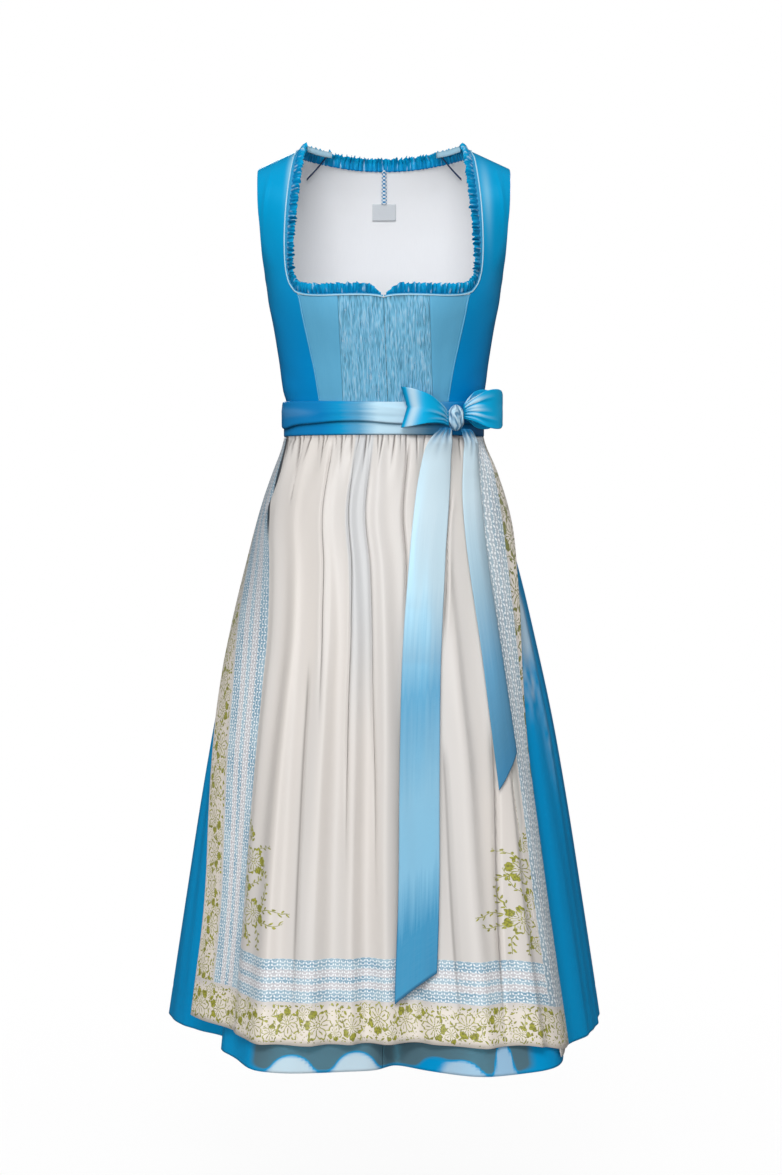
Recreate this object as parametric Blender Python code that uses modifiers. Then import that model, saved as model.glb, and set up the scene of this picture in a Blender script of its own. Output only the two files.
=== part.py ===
"""Dirndl dress with an apron and a tied ribbon bow, hollow and filled out as it is worn.

Units are metres. +Z is up and the front faces -Y, so +X is the wearer's left side.
The origin is where the wearer's shoulders carry the dress: midway between the two straps,
at the height of the inner ends of the shoulder seams.

Two charts place every piece. The bodice is a chart over a general torso: an angle from the
centre front (or centre back) round to the side, and a rise from 0 at the waist seam to 1 on the
shoulder line. The skirt is a chart of an angle round the body and a height. Each piece of cloth
is a grid laid on a chart, moved out by its own layer's distance, and given its wall.
"""

import math

import bmesh
import bpy
from mathutils import Vector

# ---------------------------------------------------------------- driving sizes
SEAM = 0.0003  # gap between neighbouring pieces

WAIST = -0.378  # height of the waist seam
UNDERARM = -0.185
SHOULDER_TIP = -0.0295
HEM = -1.2256
APRON_HEM = -1.189

SHOULDER_RISE = 0.050  # the shoulder line's height carried on to the centre
SHOULDER_SLOPE = 0.45
SHOULDER_CURVE_START = -0.130  # above this the cloth leans in to the shoulder line
ARMHOLE_CUT_DEG = 35.0  # how far the armhole cuts in from the side, at the shoulder tip

BUST_OUT = 0.012
BUST_APART = 0.080
BUST_HEIGHT = -0.235
BUST_SPREAD = 0.046

BODICE_WALL = 0.0015
LINING_WALL = 0.0010
LINING_GAP = 0.0024  # the lining keeps clear of the panels' facets
SKIRT_WALL = 0.0015
APRON_WALL = 0.0011
RIBBON_WALL = 0.0011
RUFFLE_WALL = 0.0010

SIDE_GAP_DEG = 0.17  # half the gap at the side seams
TOP_RISE = 0.999997  # the panels stop this near the shoulder seam

INSERT_HALF = 0.0612  # half the width of the ruched insert in the front
INSERT_LEAN = 0.0065  # the insert and its opening run this far off centre by the waist
RIB_COUNT = 16  # ruched ribs on each side of the front opening
RIB_HEIGHT = 0.0011

PIPING_WIDTH = 0.0022
PIPING_PROUD = 0.0011
RUFFLE_WIDTH = 0.0130
BACK_RUFFLE_WIDTH = 0.0092
RUFFLE_PITCH = 0.0080
RUFFLE_SWING = 0.0021
RUFFLE_LEAN_DEG = 14.0
RUFFLE_TAPER = 0.030  # the ruffle runs out over this length at the front notch

GATHER_COUNT = 24  # gathers round the skirt's waist
GATHER_SWING = 0.0042
GATHER_END = -0.640
SKIRT_ROWS = (-0.400, -0.430, -0.470, -0.520, -0.590, -0.680, -0.790, -0.920, -1.070, HEM)

APRON_WIDTH = 0.75  # width of the apron's cloth before it is gathered
BORDER_WIDTH = 0.054  # each of the two bands along the apron's edges
APRON_GATHERS = 11
APRON_GATHER_SWING = 0.0040
APRON_GATHER_FADE = 0.110  # the gathers run out over this length below the waistband
APRON_CLEAR = 0.0034
APRON_EDGE_DROP = 0.026
APRON_EDGE_LIFT = 0.0058  # room for the edge that is turned under
APRON_ROWS = (-0.415, -0.430, -0.470, -0.520, -0.590, -0.680, -0.790, -0.920, -1.070, APRON_HEM)
TURN_RADIUS = 0.0025  # of the apron's right edge, where it is turned under

BAND_TOP = -0.3570
BAND_BOTTOM = -0.4015
BAND_WALL = 0.0014
BAND_OUT = 0.0051
WRAP_TOP = -0.3548
WRAP_BOTTOM = -0.3865
WRAP_OUT = BAND_OUT + BAND_WALL + 0.0004

BOW_ANGLE_DEG = 41.0
WAIST_CURVE = 0.122  # metres along the waist for each radian near the bow
KNOT_HEIGHT = -0.3815
KNOT_HALF = (0.0115, 0.0105, 0.0180)  # along the waist, outwards, up
KNOT_STAND = 0.0003  # the knot and the loops' charts stand this far off the wrap

# ---------------------------------------------------------------- tables


class Table:
    """Rows under named columns, read smoothly at any value of the first column."""

    def __init__(self, columns, *rows):
        self.columns = columns.split()
        self.rows = sorted(rows)

    def at(self, column, key):
        place = self.columns.index(column)
        keys = [row[0] for row in self.rows]
        values = [row[place] for row in self.rows]
        if key <= keys[0]:
            return values[0]
        if key >= keys[-1]:
            return values[-1]
        i = max(k for k in range(len(keys) - 1) if keys[k] <= key)
        step = keys[i + 1] - keys[i]
        t = (key - keys[i]) / step

        def slope(k):
            low, high = max(k - 1, 0), min(k + 1, len(keys) - 1)
            return (values[high] - values[low]) / (keys[high] - keys[low])

        return (
            (2 * t**3 - 3 * t**2 + 1) * values[i]
            + (t**3 - 2 * t**2 + t) * step * slope(i)
            + (3 * t**2 - 2 * t**3) * values[i + 1]
            + (t**3 - t**2) * step * slope(i + 1)
        )


# The torso by height: its half width, and how far it stands out in front and behind.
TORSO = Table(
    "height half_width front back",
    (-0.400, 0.1368, 0.0990, 0.0905),
    (-0.378, 0.1366, 0.0985, 0.0900),
    (-0.357, 0.1380, 0.0995, 0.0908),
    (-0.342, 0.1425, 0.1030, 0.0932),
    (-0.303, 0.1480, 0.1120, 0.0970),
    (-0.261, 0.1547, 0.1210, 0.1040),
    (-0.219, 0.1624, 0.1270, 0.1110),
    (-0.185, 0.1678, 0.1250, 0.1150),
    (-0.156, 0.1768, 0.1200, 0.1170),
    (-0.135, 0.1828, 0.1160, 0.1175),
    (-0.114, 0.1894, 0.1110, 0.1170),
    (-0.093, 0.1967, 0.1060, 0.1150),
    (-0.051, 0.2095, 0.0980, 0.1100),
    (-0.030, 0.2157, 0.0950, 0.1070),
    (0.050, 0.2200, 0.0900, 0.1000),
)

# The inner edge of the side front: the curved bodice seam, then the side of the neckline,
# and how wide the neckline's piped edge is there.
FRONT_SEAM = Table(
    "height x band",
    (-0.3780, 0.0855, 0.0022),
    (-0.3570, 0.0888, 0.0022),
    (-0.3160, 0.0953, 0.0022),
    (-0.2755, 0.1040, 0.0022),
    (-0.2420, 0.1112, 0.0022),
    (-0.2165, 0.1163, 0.0022),
    (-0.2090, 0.1208, 0.0022),
    (-0.1980, 0.1284, 0.0024),
    (-0.1850, 0.1325, 0.0032),
    (-0.1700, 0.1348, 0.0044),
    (-0.1490, 0.1357, 0.0055),
    (-0.1270, 0.1355, 0.0062),
    (-0.0970, 0.1340, 0.0066),
    (-0.0700, 0.1315, 0.0068),
    (-0.0450, 0.1285, 0.0062),
    (-0.0220, 0.1252, 0.0050),
    (-0.0036, 0.1215, 0.0036),
)

# Rises of the side front's rows, closer together round the corner of the neckline.
SIDE_FRONT_ROWS = (
    *(TOP_RISE, 0.9990, 0.9935, 0.980, 0.945, 0.88, 0.79, 0.70, 0.61, 0.567, 0.527, 0.493),
    *(0.455, 0.40, 0.33, 0.25, 0.165, 0.08, 0.0),
)

# The lower edge of the neckline, from the notch at the centre front out to its corner.
NECK_LOW = Table(
    "x height",
    (0.0000, -0.2208),
    (0.0060, -0.2191),
    (0.0160, -0.2179),
    (0.0320, -0.2173),
    (0.0570, -0.2176),
    (0.0790, -0.2176),
    (0.1000, -0.2160),
    (0.1120, -0.2132),
    (0.1208, -0.2090),
)

# The back neckline, from the centre out to the shoulder seam.
BACK_NECK = Table(
    "x height",
    (0.000, -0.0132),
    (0.030, -0.0128),
    (0.054, -0.0112),
    (0.076, -0.0088),
    (0.094, -0.0068),
    (0.108, -0.0052),
    (0.1215, -0.0047),
)

BACK_SEAM_TOP = 0.72  # rise where the curved back seam meets the armhole
BACK_YOKE_ROWS, BACK_LOWER_ROWS = 5, 8  # rows of the back above and below that

# The curved back seam, from the waist to the armhole, as a share of the rise.
BACK_SEAM = Table(
    "rise x",
    (0.00, 0.0620),
    (0.20, 0.0680),
    (0.40, 0.0840),
    (0.55, 0.1080),
    (0.66, 0.1380),
    (0.74, 0.1760),
)

# The skirt by height: its half width, and how far it stands out in front and behind.
SKIRT = Table(
    "height half_width front back",
    (-0.378, 0.1356, 0.0975, 0.0890),
    (-0.400, 0.1366, 0.0990, 0.0905),
    (-0.430, 0.1435, 0.1060, 0.0990),
    (-0.494, 0.1650, 0.1285, 0.1240),
    (-0.579, 0.1885, 0.1580, 0.1520),
    (-0.665, 0.2100, 0.1850, 0.1780),
    (-0.793, 0.2390, 0.2180, 0.2100),
    (-0.922, 0.2620, 0.2440, 0.2370),
    (-1.052, 0.2820, 0.2680, 0.2610),
    (-1.226, 0.3085, 0.2930, 0.2850),
)

# The skirt's large folds at the hem. Those that stand out carry the apron.
FOLDS = (
    # angle, out at the hem, spread on the left, spread on the right, height where it starts
    (-27.0, 0.042, 9.0, 16.0, -0.52),
    (3.0, -0.022, 3.5, 5.5, -0.66),
    (22.0, 0.050, 9.5, 12.0, -0.54),
    (37.5, 0.050, 10.0, 9.5, -0.50),
    (-54.5, -0.046, 18.0, 6.5, -0.70),
    (113.0, -0.028, 9.0, 8.0, -0.62),
    (136.0, 0.030, 14.0, 12.0, -0.52),
    (160.0, -0.026, 8.0, 9.0, -0.66),
    (184.0, 0.034, 14.0, 12.0, -0.50),
    (208.0, -0.028, 9.0, 8.0, -0.60),
    (231.0, 0.028, 13.0, 12.0, -0.54),
    (252.0, -0.026, 8.0, 9.0, -0.64),
)

# The apron's lines by height, in degrees round the skirt, and how much of its right band shows.
APRON_LINES = Table(
    "height left_edge left_inner right_inner right_fold band_shown",
    (-0.399, -112.0, -76.0, 66.0, 96.0, 1.00),
    (-0.500, -103.0, -67.0, 50.0, 90.0, 1.00),
    (-0.580, -96.0, -56.0, 47.5, 73.0, 0.72),
    (-0.665, -89.0, -48.0, 44.5, 61.5, 0.42),
    (-0.750, -81.0, -45.0, 42.0, 54.5, 0.14),
    (-0.836, -74.0, -43.0, 40.5, 51.0, 0.05),
    (-1.009, -63.0, -40.0, 38.5, 50.5, 0.04),
    (-1.215, -59.0, -38.0, 38.0, 49.5, 0.04),
)

# The apron's long soft folds across its plain middle, which runs from 0 to 1.
APRON_FOLDS = (
    # across at the waist, across at the hem, height, spread on the left, spread on the right
    (0.070, 0.045, 0.010, 0.030, 0.050),
    (0.185, 0.150, 0.011, 0.050, 0.024),
    (0.320, 0.285, 0.012, 0.034, 0.050),
    (0.430, 0.400, 0.011, 0.045, 0.026),
    (0.520, 0.515, 0.016, 0.036, 0.040),
    (0.665, 0.655, 0.009, 0.022, 0.045),
    (0.790, 0.790, 0.009, 0.040, 0.028),
    (0.920, 0.935, 0.013, 0.050, 0.018),
)

# The two ribbon tails, from the knot down: the middle of the ribbon, its half width,
# how far it stands off the apron, and how far its right edge turns back.
LONG_TAIL = Table(
    "height x half_width off turn",
    (-0.3950, 0.0815, 0.0070, 0.0135, 0.000),
    (-0.4125, 0.0745, 0.0154, 0.0130, 0.003),
    (-0.4380, 0.0712, 0.0198, 0.0080, 0.003),
    (-0.4900, 0.0668, 0.0235, 0.0035, 0.002),
    (-0.5700, 0.0585, 0.0240, 0.0020, 0.000),
    (-0.7000, 0.0487, 0.0242, 0.0020, 0.000),
    (-0.8600, 0.0446, 0.0242, 0.0020, 0.000),
    (-1.0000, 0.0430, 0.0242, 0.0020, 0.000),
    (-1.1200, 0.0385, 0.0242, 0.0020, 0.000),
)
SHORT_TAIL = Table(
    "height x half_width off turn",
    (-0.3962, 0.1069, 0.0070, 0.0138, 0.000),
    (-0.4125, 0.1130, 0.0098, 0.0140, 0.004),
    (-0.4400, 0.1158, 0.0122, 0.0110, 0.006),
    (-0.4900, 0.1190, 0.0145, 0.0075, 0.005),
    (-0.5700, 0.1240, 0.0148, 0.0060, 0.004),
    (-0.7000, 0.1350, 0.0145, 0.0050, 0.003),
    (-0.7700, 0.1400, 0.0142, 0.0040, 0.002),
    (-0.8800, 0.1480, 0.0140, 0.0030, 0.001),
)
LONG_TAIL_END = (-1.138, -1.098)  # height at its left corner and at its right corner
SHORT_TAIL_END = (-0.872, -0.826)

# ---------------------------------------------------------------- small maths


def mix(a, b, t):
    return a + (b - a) * t


def clamp(value, low=0.0, high=1.0):
    return max(low, min(high, value))


def ease(t):
    t = clamp(t)
    return t * t * (3 - 2 * t)


def hill(distance, left, right):
    """1 at the top of a fold, falling away over its spread on each side."""
    return math.exp(-((distance / (left if distance < 0 else right)) ** 2))


def turn_apart(a, b):
    """Signed degrees from angle b to angle a, the short way round."""
    return (a - b + 180.0) % 360.0 - 180.0


# ---------------------------------------------------------------- the torso chart


def shoulder_line(x):
    return SHOULDER_RISE - SHOULDER_SLOPE * abs(x)


def rise_of(x, height):
    return (height - WAIST) / (shoulder_line(x) - WAIST)


def half_width(rise):
    return TORSO.at("half_width", mix(WAIST, SHOULDER_TIP, rise))


def armhole_deg(rise):
    """Degrees from the centre to the bodice's outer edge: the side seam, then the armhole."""
    above = (rise - rise_of(0.1675, UNDERARM)) / (1 - rise_of(0.1675, UNDERARM))
    return 90.0 - ARMHOLE_CUT_DEG * math.sqrt(clamp(above))


def torso_at(degrees, rise, back):
    """A point on the torso. Degrees run from the centre line, + towards +X."""
    angle = math.radians(degrees)
    x = half_width(rise) * math.sin(angle)
    height = mix(WAIST, shoulder_line(x), rise)
    lean = (height - SHOULDER_CURVE_START) / (shoulder_line(x) - SHOULDER_CURVE_START)
    out = math.cos(angle) * math.sqrt(1 - clamp(lean) ** 3)
    if back:
        return Vector((x, TORSO.at("back", height) * out, height))
    spread = (abs(x) - BUST_APART) ** 2 + (height - BUST_HEIGHT) ** 2
    bust = BUST_OUT * math.exp(-spread / BUST_SPREAD**2)
    return Vector((x, -(TORSO.at("front", height) + bust) * out, height))


def torso(degrees, rise, back=False, out=0.0):
    """A point on the torso, moved out along its normal."""
    step_deg, step_rise = 0.5, 0.003
    low, high = max(rise - step_rise, 0.0), min(rise + step_rise, 0.9995)
    across = torso_at(degrees + step_deg, min(rise, 0.9995), back)
    across -= torso_at(degrees - step_deg, min(rise, 0.9995), back)
    up = torso_at(degrees, high, back) - torso_at(degrees, low, back)
    normal = across.cross(up).normalized() * (-1.0 if back else 1.0)
    return torso_at(degrees, rise, back) + normal * out


def degrees_of(x, rise):
    share = x / half_width(rise)
    return math.degrees(math.asin(clamp(share, -1.0, 1.0)))


def torso_xz(x, height, back=False, out=0.0):
    rise = rise_of(x, height)
    return torso(degrees_of(x, rise), rise, back, out)


# ---------------------------------------------------------------- the skirt chart


def form(degrees, height, out):
    """A point on the skirt's plain form, moved out level with the floor."""
    angle = math.radians(degrees)
    wide = SKIRT.at("half_width", height)
    deep = SKIRT.at("front" if math.cos(angle) > 0 else "back", height)
    normal = Vector((deep * math.sin(angle), -wide * math.cos(angle), 0)).normalized()
    on_form = Vector((wide * math.sin(angle), -deep * math.cos(angle), height))
    return on_form + normal * out


def fold_out(degrees, height, standing_out_only):
    """How far the skirt's large folds carry its cloth in or out."""
    total = 0.0
    for angle, out, left, right, start in FOLDS:
        if standing_out_only and out < 0:
            continue
        grown = clamp((start - height) / (start - HEM))
        total += out * grown**1.15 * hill(turn_apart(degrees, angle), left, right)
    return total


def skirt_place(share, height):
    """A point of the skirt. Share runs once round from the centre back."""
    phase = share * GATHER_COUNT
    turn = 2 * math.pi * share
    uneven = 1.9 * math.sin(7 * turn) + 1.2 * math.sin(11 * turn)
    degrees = share * 360.0 - 180.0 + uneven
    fade_in = ease((WAIST - 0.020 - height) / 0.060)
    fade_out = 1 - ease((-0.46 - height) / (-0.46 - GATHER_END))
    swing = GATHER_SWING * mix(0.12, 1.0, fade_in) * fade_out
    wave = -math.cos(2 * math.pi * phase) - 1
    return form(degrees, height, fold_out(degrees, height, False) + swing * wave / 2)


# ---------------------------------------------------------------- building


def material(name, red, green, blue, roughness):
    made = bpy.data.materials.new(name)
    made.use_nodes = True
    shader = made.node_tree.nodes["Principled BSDF"]
    shader.inputs["Base Color"].default_value = (red, green, blue, 1)
    shader.inputs["Roughness"].default_value = roughness
    return made


def add_object(name, bm, finish):
    mesh = bpy.data.meshes.new(name)
    bm.to_mesh(mesh)
    bm.free()
    mesh.shade_smooth()
    mesh.materials.append(finish)
    made = bpy.data.objects.new(name, mesh)
    DRESS.objects.link(made)
    return made


def grid(columns, rows, place):
    """A grid whose place is given across (0 to 1) and down (0 to 1), facing outwards."""
    bm = bmesh.new()
    bmesh.ops.create_grid(bm, x_segments=columns, y_segments=rows, size=0.5)
    for vert in bm.verts:
        vert.co = place(vert.co.x + 0.5, 0.5 - vert.co.y)
    return bm


def cloth(name, columns, rows, place, wall, finish, ring=False):
    """A piece of cloth: a grid given its wall on the inner side."""
    bm = grid(columns, rows, place)
    if ring:
        bmesh.ops.remove_doubles(bm, verts=bm.verts, dist=SEAM / 3)
    made = add_object(name, bm, finish)
    thick = made.modifiers.new("wall", "SOLIDIFY")
    thick.thickness = wall
    thick.offset = -1
    return made


def slab(name, columns, rows, outer, inner, finish):
    """A piece whose outer face carries relief and whose inner face is plain."""
    bm = bmesh.new()
    bmesh.ops.create_grid(bm, x_segments=columns, y_segments=rows, size=0.5)
    flat = set(bm.verts)
    bmesh.ops.extrude_face_region(bm, geom=bm.faces[:])
    for vert in bm.verts:
        place = inner if vert in flat else outer
        vert.co = place(vert.co.x + 0.5, 0.5 - vert.co.y)
    bmesh.ops.recalc_face_normals(bm, faces=bm.faces)
    return add_object(name, bm, finish)


# ---------------------------------------------------------------- bodice


def side_front(name, sign):
    """The dark side panel, from the curved seam to the side seam, with its shoulder strap."""

    def place(across, down):
        rise = SIDE_FRONT_ROWS[round(down * (len(SIDE_FRONT_ROWS) - 1))]
        x_edge = FRONT_SEAM.at("x", mix(WAIST, shoulder_line(0.12), rise))
        inner = degrees_of(x_edge + 0.0019, rise)
        outer = armhole_deg(rise) - SIDE_GAP_DEG
        share = across if sign > 0 else 1 - across
        return torso(sign * mix(inner, outer, share), min(rise, TOP_RISE))

    return cloth(name, 6, len(SIDE_FRONT_ROWS) - 1, place, BODICE_WALL, SATIN)


def neck_low(x):
    """The panels' top edge, just below the piping."""
    return NECK_LOW.at("height", abs(x)) - 2 * SEAM


def insert_lean(height):
    top = NECK_LOW.at("height", 0)
    return INSERT_LEAN * clamp((top - height) / (top - WAIST))


def front_panel(name, sign):
    """The light flat panel between the ruched insert and the curved seam."""

    def place(across, down):
        share = across if sign > 0 else 1 - across
        top_edge = FRONT_SEAM.at("x", -0.2165) - 0.0028
        x_top = mix(INSERT_HALF, top_edge, share)
        height = mix(neck_low(x_top), WAIST + 1e-5, down)
        x_seam = FRONT_SEAM.at("x", height) - 0.0028
        x_insert = INSERT_HALF + 2 * SEAM + sign * insert_lean(height)
        return torso_xz(sign * mix(x_insert, x_seam, share), height)

    return cloth(name, 4, 8, place, BODICE_WALL, LIGHT_SATIN)


def ruched_insert(name, sign):
    """One half of the ruched front, its ribs raised over a plain inside."""

    def on_torso(across, down, out):
        share = across if sign > 0 else 1 - across
        x = mix(SEAM / 2, INSERT_HALF, share)
        height = mix(neck_low(x), WAIST + 1e-5, down**0.8)
        return torso_xz(sign * x + insert_lean(height), height, out=out)

    def outer(across, down):
        ridge = round(across * RIB_COUNT * 2) % 2
        return on_torso(across, down, RIB_HEIGHT * ridge)

    def inner(across, down):
        return on_torso(across, down, -BODICE_WALL)

    return slab(name, RIB_COUNT * 2, 4, outer, inner, LIGHT_SATIN)


def back_neck_rise(x):
    """The back neckline's rise, from the centre back out to the shoulder seam."""
    return min(rise_of(x, BACK_NECK.at("height", abs(x))), 0.9999)


def back_edge_deg(rise):
    """The centre back's outer edge: the curved back seam, then the armhole."""
    if rise > BACK_SEAM_TOP:
        return armhole_deg(rise)
    return min(degrees_of(BACK_SEAM.at("x", rise), rise), armhole_deg(rise))


def back_place(edge_deg, inset):
    """Places a back piece as wide as edge_deg on each side, under the neckline and straps."""

    def place(across, down):
        side = mix(1, -1, across)
        strap_x = FRONT_SEAM.at("x", 0) + 1.9 * PIPING_WIDTH
        strap = degrees_of(strap_x, 1.0) / armhole_deg(1.0)
        corner = 5 / 8  # the column that meets the neckline's end at the shoulder
        if abs(side) < corner:
            side *= strap / corner
        else:
            side = math.copysign(mix(strap, 1, (abs(side) - corner) / (1 - corner)), side)
        x_top = half_width(1.0) * math.sin(math.radians(side * armhole_deg(1.0)))
        top = min(back_neck_rise(x_top) - 0.0025, TOP_RISE)
        top = TOP_RISE if abs(side) > strap - 1e-6 else top
        row = round(down * (BACK_YOKE_ROWS + BACK_LOWER_ROWS)) - BACK_YOKE_ROWS
        if row < 0:
            rise = mix(top, BACK_SEAM_TOP, (1 + row / BACK_YOKE_ROWS) ** 2.2)
        else:
            rise = side_back_rise(row / BACK_LOWER_ROWS)
        degrees = side * (edge_deg(rise) - SIDE_GAP_DEG)
        return torso(degrees, rise, back=True, out=inset)

    return place


def side_back_rise(down):
    return mix(BACK_SEAM_TOP, 0, down)


def side_back(name, sign):
    """The panel between the curved back seam and the side seam, under the armhole."""

    def place(across, down):
        rise = side_back_rise(down)
        inner = back_edge_deg(rise) + SIDE_GAP_DEG
        outer = max(armhole_deg(rise) - SIDE_GAP_DEG, inner + 0.35)
        share = 1 - across if sign > 0 else across
        return torso(sign * mix(inner, outer, share), rise, back=True)

    return cloth(name, 5, BACK_LOWER_ROWS, place, BODICE_WALL, SATIN)


def build_bodice():
    for name, sign in (("left", 1), ("right", -1)):
        side_front(f"side_front_{name}", sign)
        front_panel(f"front_panel_{name}", sign)
        ruched_insert(f"ruched_insert_{name}", sign)
        side_back(f"side_back_{name}", sign)
    rows = BACK_YOKE_ROWS + BACK_LOWER_ROWS
    cloth("centre_back", 16, rows, back_place(back_edge_deg, 0.0), BODICE_WALL, SATIN)
    lining = back_place(armhole_deg, -(BODICE_WALL + LINING_GAP))
    cloth("back_lining", 16, rows, lining, LINING_WALL, LINING)


# ---------------------------------------------------------------- neckline trim


def front_neckline():
    """Points of half the neckline, as x and height, from the front notch to the shoulder."""
    xs = (0.0012, 0.004, 0.009, 0.018, 0.028, 0.038, 0.048, 0.058, 0.068, 0.078, 0.088)
    points = [(x, NECK_LOW.at("height", x)) for x in (*xs, 0.098, 0.107, 0.115)]
    heights = (-0.2090, -0.2035, -0.1975, -0.191, -0.183, -0.174, -0.164, -0.153, -0.141, -0.129)
    heights += (-0.116, -0.103, -0.090, -0.077, -0.064, -0.051, -0.038, -0.028, -0.020)
    return points + [(FRONT_SEAM.at("x", z), z) for z in heights]


def neck_frames(back, sign):
    """Along one side's neckline: its place, its direction, outwards, and into the opening."""
    end = FRONT_SEAM.at("x", 0)
    if back:
        pairs = [(k * 0.0105, back_neck_rise(k * 0.0105)) for k in range(11)]
        pairs += [(end - 0.0022, 0.9965), (end, 0.9988), (end, 0.99999)]
    else:
        pairs = [(x, rise_of(x, z)) for x, z in front_neckline()]
        pairs += [(end, 0.9850), (end, 0.9950), (end, 0.9988), (end, 0.99999)]
    places, normals, bands = [], [], []
    for x, rise in pairs:
        degrees = degrees_of(sign * x, rise)
        places.append(torso(degrees, rise, back))
        normals.append(torso(degrees, rise, back, 1.0) - places[-1])
        height = mix(WAIST, shoulder_line(x), rise)
        bands.append(PIPING_WIDTH if back else FRONT_SEAM.at("band", height))
    frames = []
    for i, (place, normal) in enumerate(zip(places, normals)):
        along = places[min(i + 1, len(places) - 1)] - places[max(i - 1, 0)]
        along.normalize()
        inward = normal.cross(along) if (sign > 0) != back else along.cross(normal)
        frames.append((place, along, normal, inward.normalized(), bands[i]))
    return frames


def walk(frames, step):
    """The same frames at even steps along the path, with the distance from its start."""
    lengths = [0.0]
    for a, b in zip(frames, frames[1:]):
        lengths.append(lengths[-1] + (b[0] - a[0]).length)
    count = max(2, round(lengths[-1] / step))
    walked = []
    for k in range(count + 1):
        at = lengths[-1] * k / count
        i = max(j for j in range(len(lengths) - 1) if lengths[j] <= at + 1e-9)
        t = (at - lengths[i]) / (lengths[i + 1] - lengths[i])
        walked.append((at, [mix(p, q, t) for p, q in zip(frames[i], frames[i + 1])]))
    return walked


def strip_along(name, steps, place, wall, finish, facing_out):
    """A strip of cloth one cell wide, from a list of steps along a path."""

    def at(across, down):
        k = round(across * (len(steps) - 1))
        return place(k, steps[k if facing_out else len(steps) - 1 - k], down)

    return cloth(name, len(steps) - 1, 1, at, wall, finish)


def ruffle(name, steps, width, runs_out, facing_out):
    """The gathered ribbon that stands up inside the neckline."""
    lean = math.radians(RUFFLE_LEAN_DEG)

    def place(k, step, down):
        at, (point, along, normal, inward, band) = step
        size = mix(0.25, 1.0, ease(at / RUFFLE_TAPER)) if runs_out else 1.0
        rise = (1 - down) * width * size + band + 2 * SEAM
        swing = RUFFLE_SWING * mix(1.0, 0.30, down) * size * (1 if k % 2 else -1)
        direction = inward * math.cos(lean) + normal * math.sin(lean)
        return point + direction * rise + normal * (swing - 0.0004)

    return strip_along(name, steps, place, RUFFLE_WALL, SATIN, facing_out)


def piping(name, frames, facing_out):
    """The narrow piped edge between the bodice and the ruffle."""

    def place(k, frame, down):
        point, _, normal, inward, band = frame
        return point + inward * (band * (1 - down)) + normal * PIPING_PROUD

    wall = PIPING_PROUD + BODICE_WALL
    return strip_along(name, frames, place, wall, LIGHT_SATIN, facing_out)


def both_backs():
    """The back neckline's frames from the wearer's right shoulder to the left."""
    right, left = neck_frames(True, -1), neck_frames(True, 1)
    turned = [(p, -a, n, w, b) for p, a, n, w, b in reversed(right[1:])]
    return turned + left


def build_trim():
    half_pitch = RUFFLE_PITCH / 2
    for name, sign in (("left", 1), ("right", -1)):
        frames = neck_frames(False, sign)
        facing_out = sign > 0
        steps = walk(frames[1:], half_pitch)
        ruffle(f"front_ruffle_{name}", steps, RUFFLE_WIDTH, True, facing_out)
        piping(f"neck_piping_{name}", frames, facing_out)
        princess_piping(f"seam_piping_{name}", sign)
    back = both_backs()
    ruffle("back_ruffle", walk(back, half_pitch), BACK_RUFFLE_WIDTH, False, False)
    piping("back_neck_piping", back, False)


def princess_piping(name, sign):
    """The fine piped line down the curved front seam."""
    lowest, highest = WAIST + 0.0005, -0.2142

    def place(across, down):
        height = mix(highest, lowest, down)
        share = across if sign > 0 else 1 - across
        x = FRONT_SEAM.at("x", height) + mix(-0.0017, 0.0009, share)
        return torso_xz(sign * x, height, out=0.0007)

    return cloth(name, 1, 9, place, BODICE_WALL + 0.0005, LIGHT_SATIN)


def build_back_details():
    """The braid and the plain label, laid on the back lining below the neckline."""
    inside = -(BODICE_WALL + LINING_GAP + LINING_WALL + 0.0011)

    def patch(name, half, top, bottom, wall, finish):
        def place(across, down):
            x = mix(-half, half, across)
            return torso_xz(x, mix(top, bottom, down), back=True, out=inside - wall)

        cloth(name, 2, 3, place, wall, finish)

    patch("hanging_braid", 0.0045, -0.0165, -0.0600, 0.0010, LIGHT_SATIN)
    patch("label", 0.0175, -0.0606, -0.0850, 0.0008, LABEL)


# ---------------------------------------------------------------- skirt


def build_skirt():
    panels = (
        # name, share of the way round where it starts and ends, columns
        ("skirt_back_right", 0.0, 0.25, 24),
        ("skirt_front_right", 0.25, 0.50, 24),
        ("skirt_front_left", 0.50, 0.75, 24),
        ("skirt_back_left", 0.75, 1.0, 24),
    )
    for name, start, end, columns in panels:

        def place(across, down, start=start, end=end):
            height = (WAIST - SEAM, *SKIRT_ROWS)[round(down * len(SKIRT_ROWS))]
            gap = SEAM / (5.5 * SKIRT.at("half_width", height))
            return skirt_place(mix(start + gap, end - gap, across), height)

        cloth(name, columns, len(SKIRT_ROWS), place, SKIRT_WALL, SATIN)


# ---------------------------------------------------------------- apron


def apron_out(across, height):
    """How far the apron stands off the skirt's form, for a place across its plain middle."""
    down = clamp((BAND_BOTTOM - height) / (BAND_BOTTOM - APRON_HEM))
    total = 0.0
    for at_waist, at_hem, size, left, right in APRON_FOLDS:
        grown = mix(0.35, 1.0, ease(down * 1.6))
        distance = across - mix(at_waist, at_hem, down)
        widen = mix(0.75, 1.15, down)
        total += size * grown * hill(distance, left * widen, right * widen)
    fade = 1 - ease((BAND_BOTTOM - 0.015 - height) / APRON_GATHER_FADE)
    wave = (1 - math.cos(2 * math.pi * APRON_GATHERS * across)) / 2
    gathers = APRON_GATHER_SWING * fade * wave * ease((BAND_BOTTOM - height) / 0.012)
    start = ease((BAND_BOTTOM - height) / 0.05)
    return total * start + gathers


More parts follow.
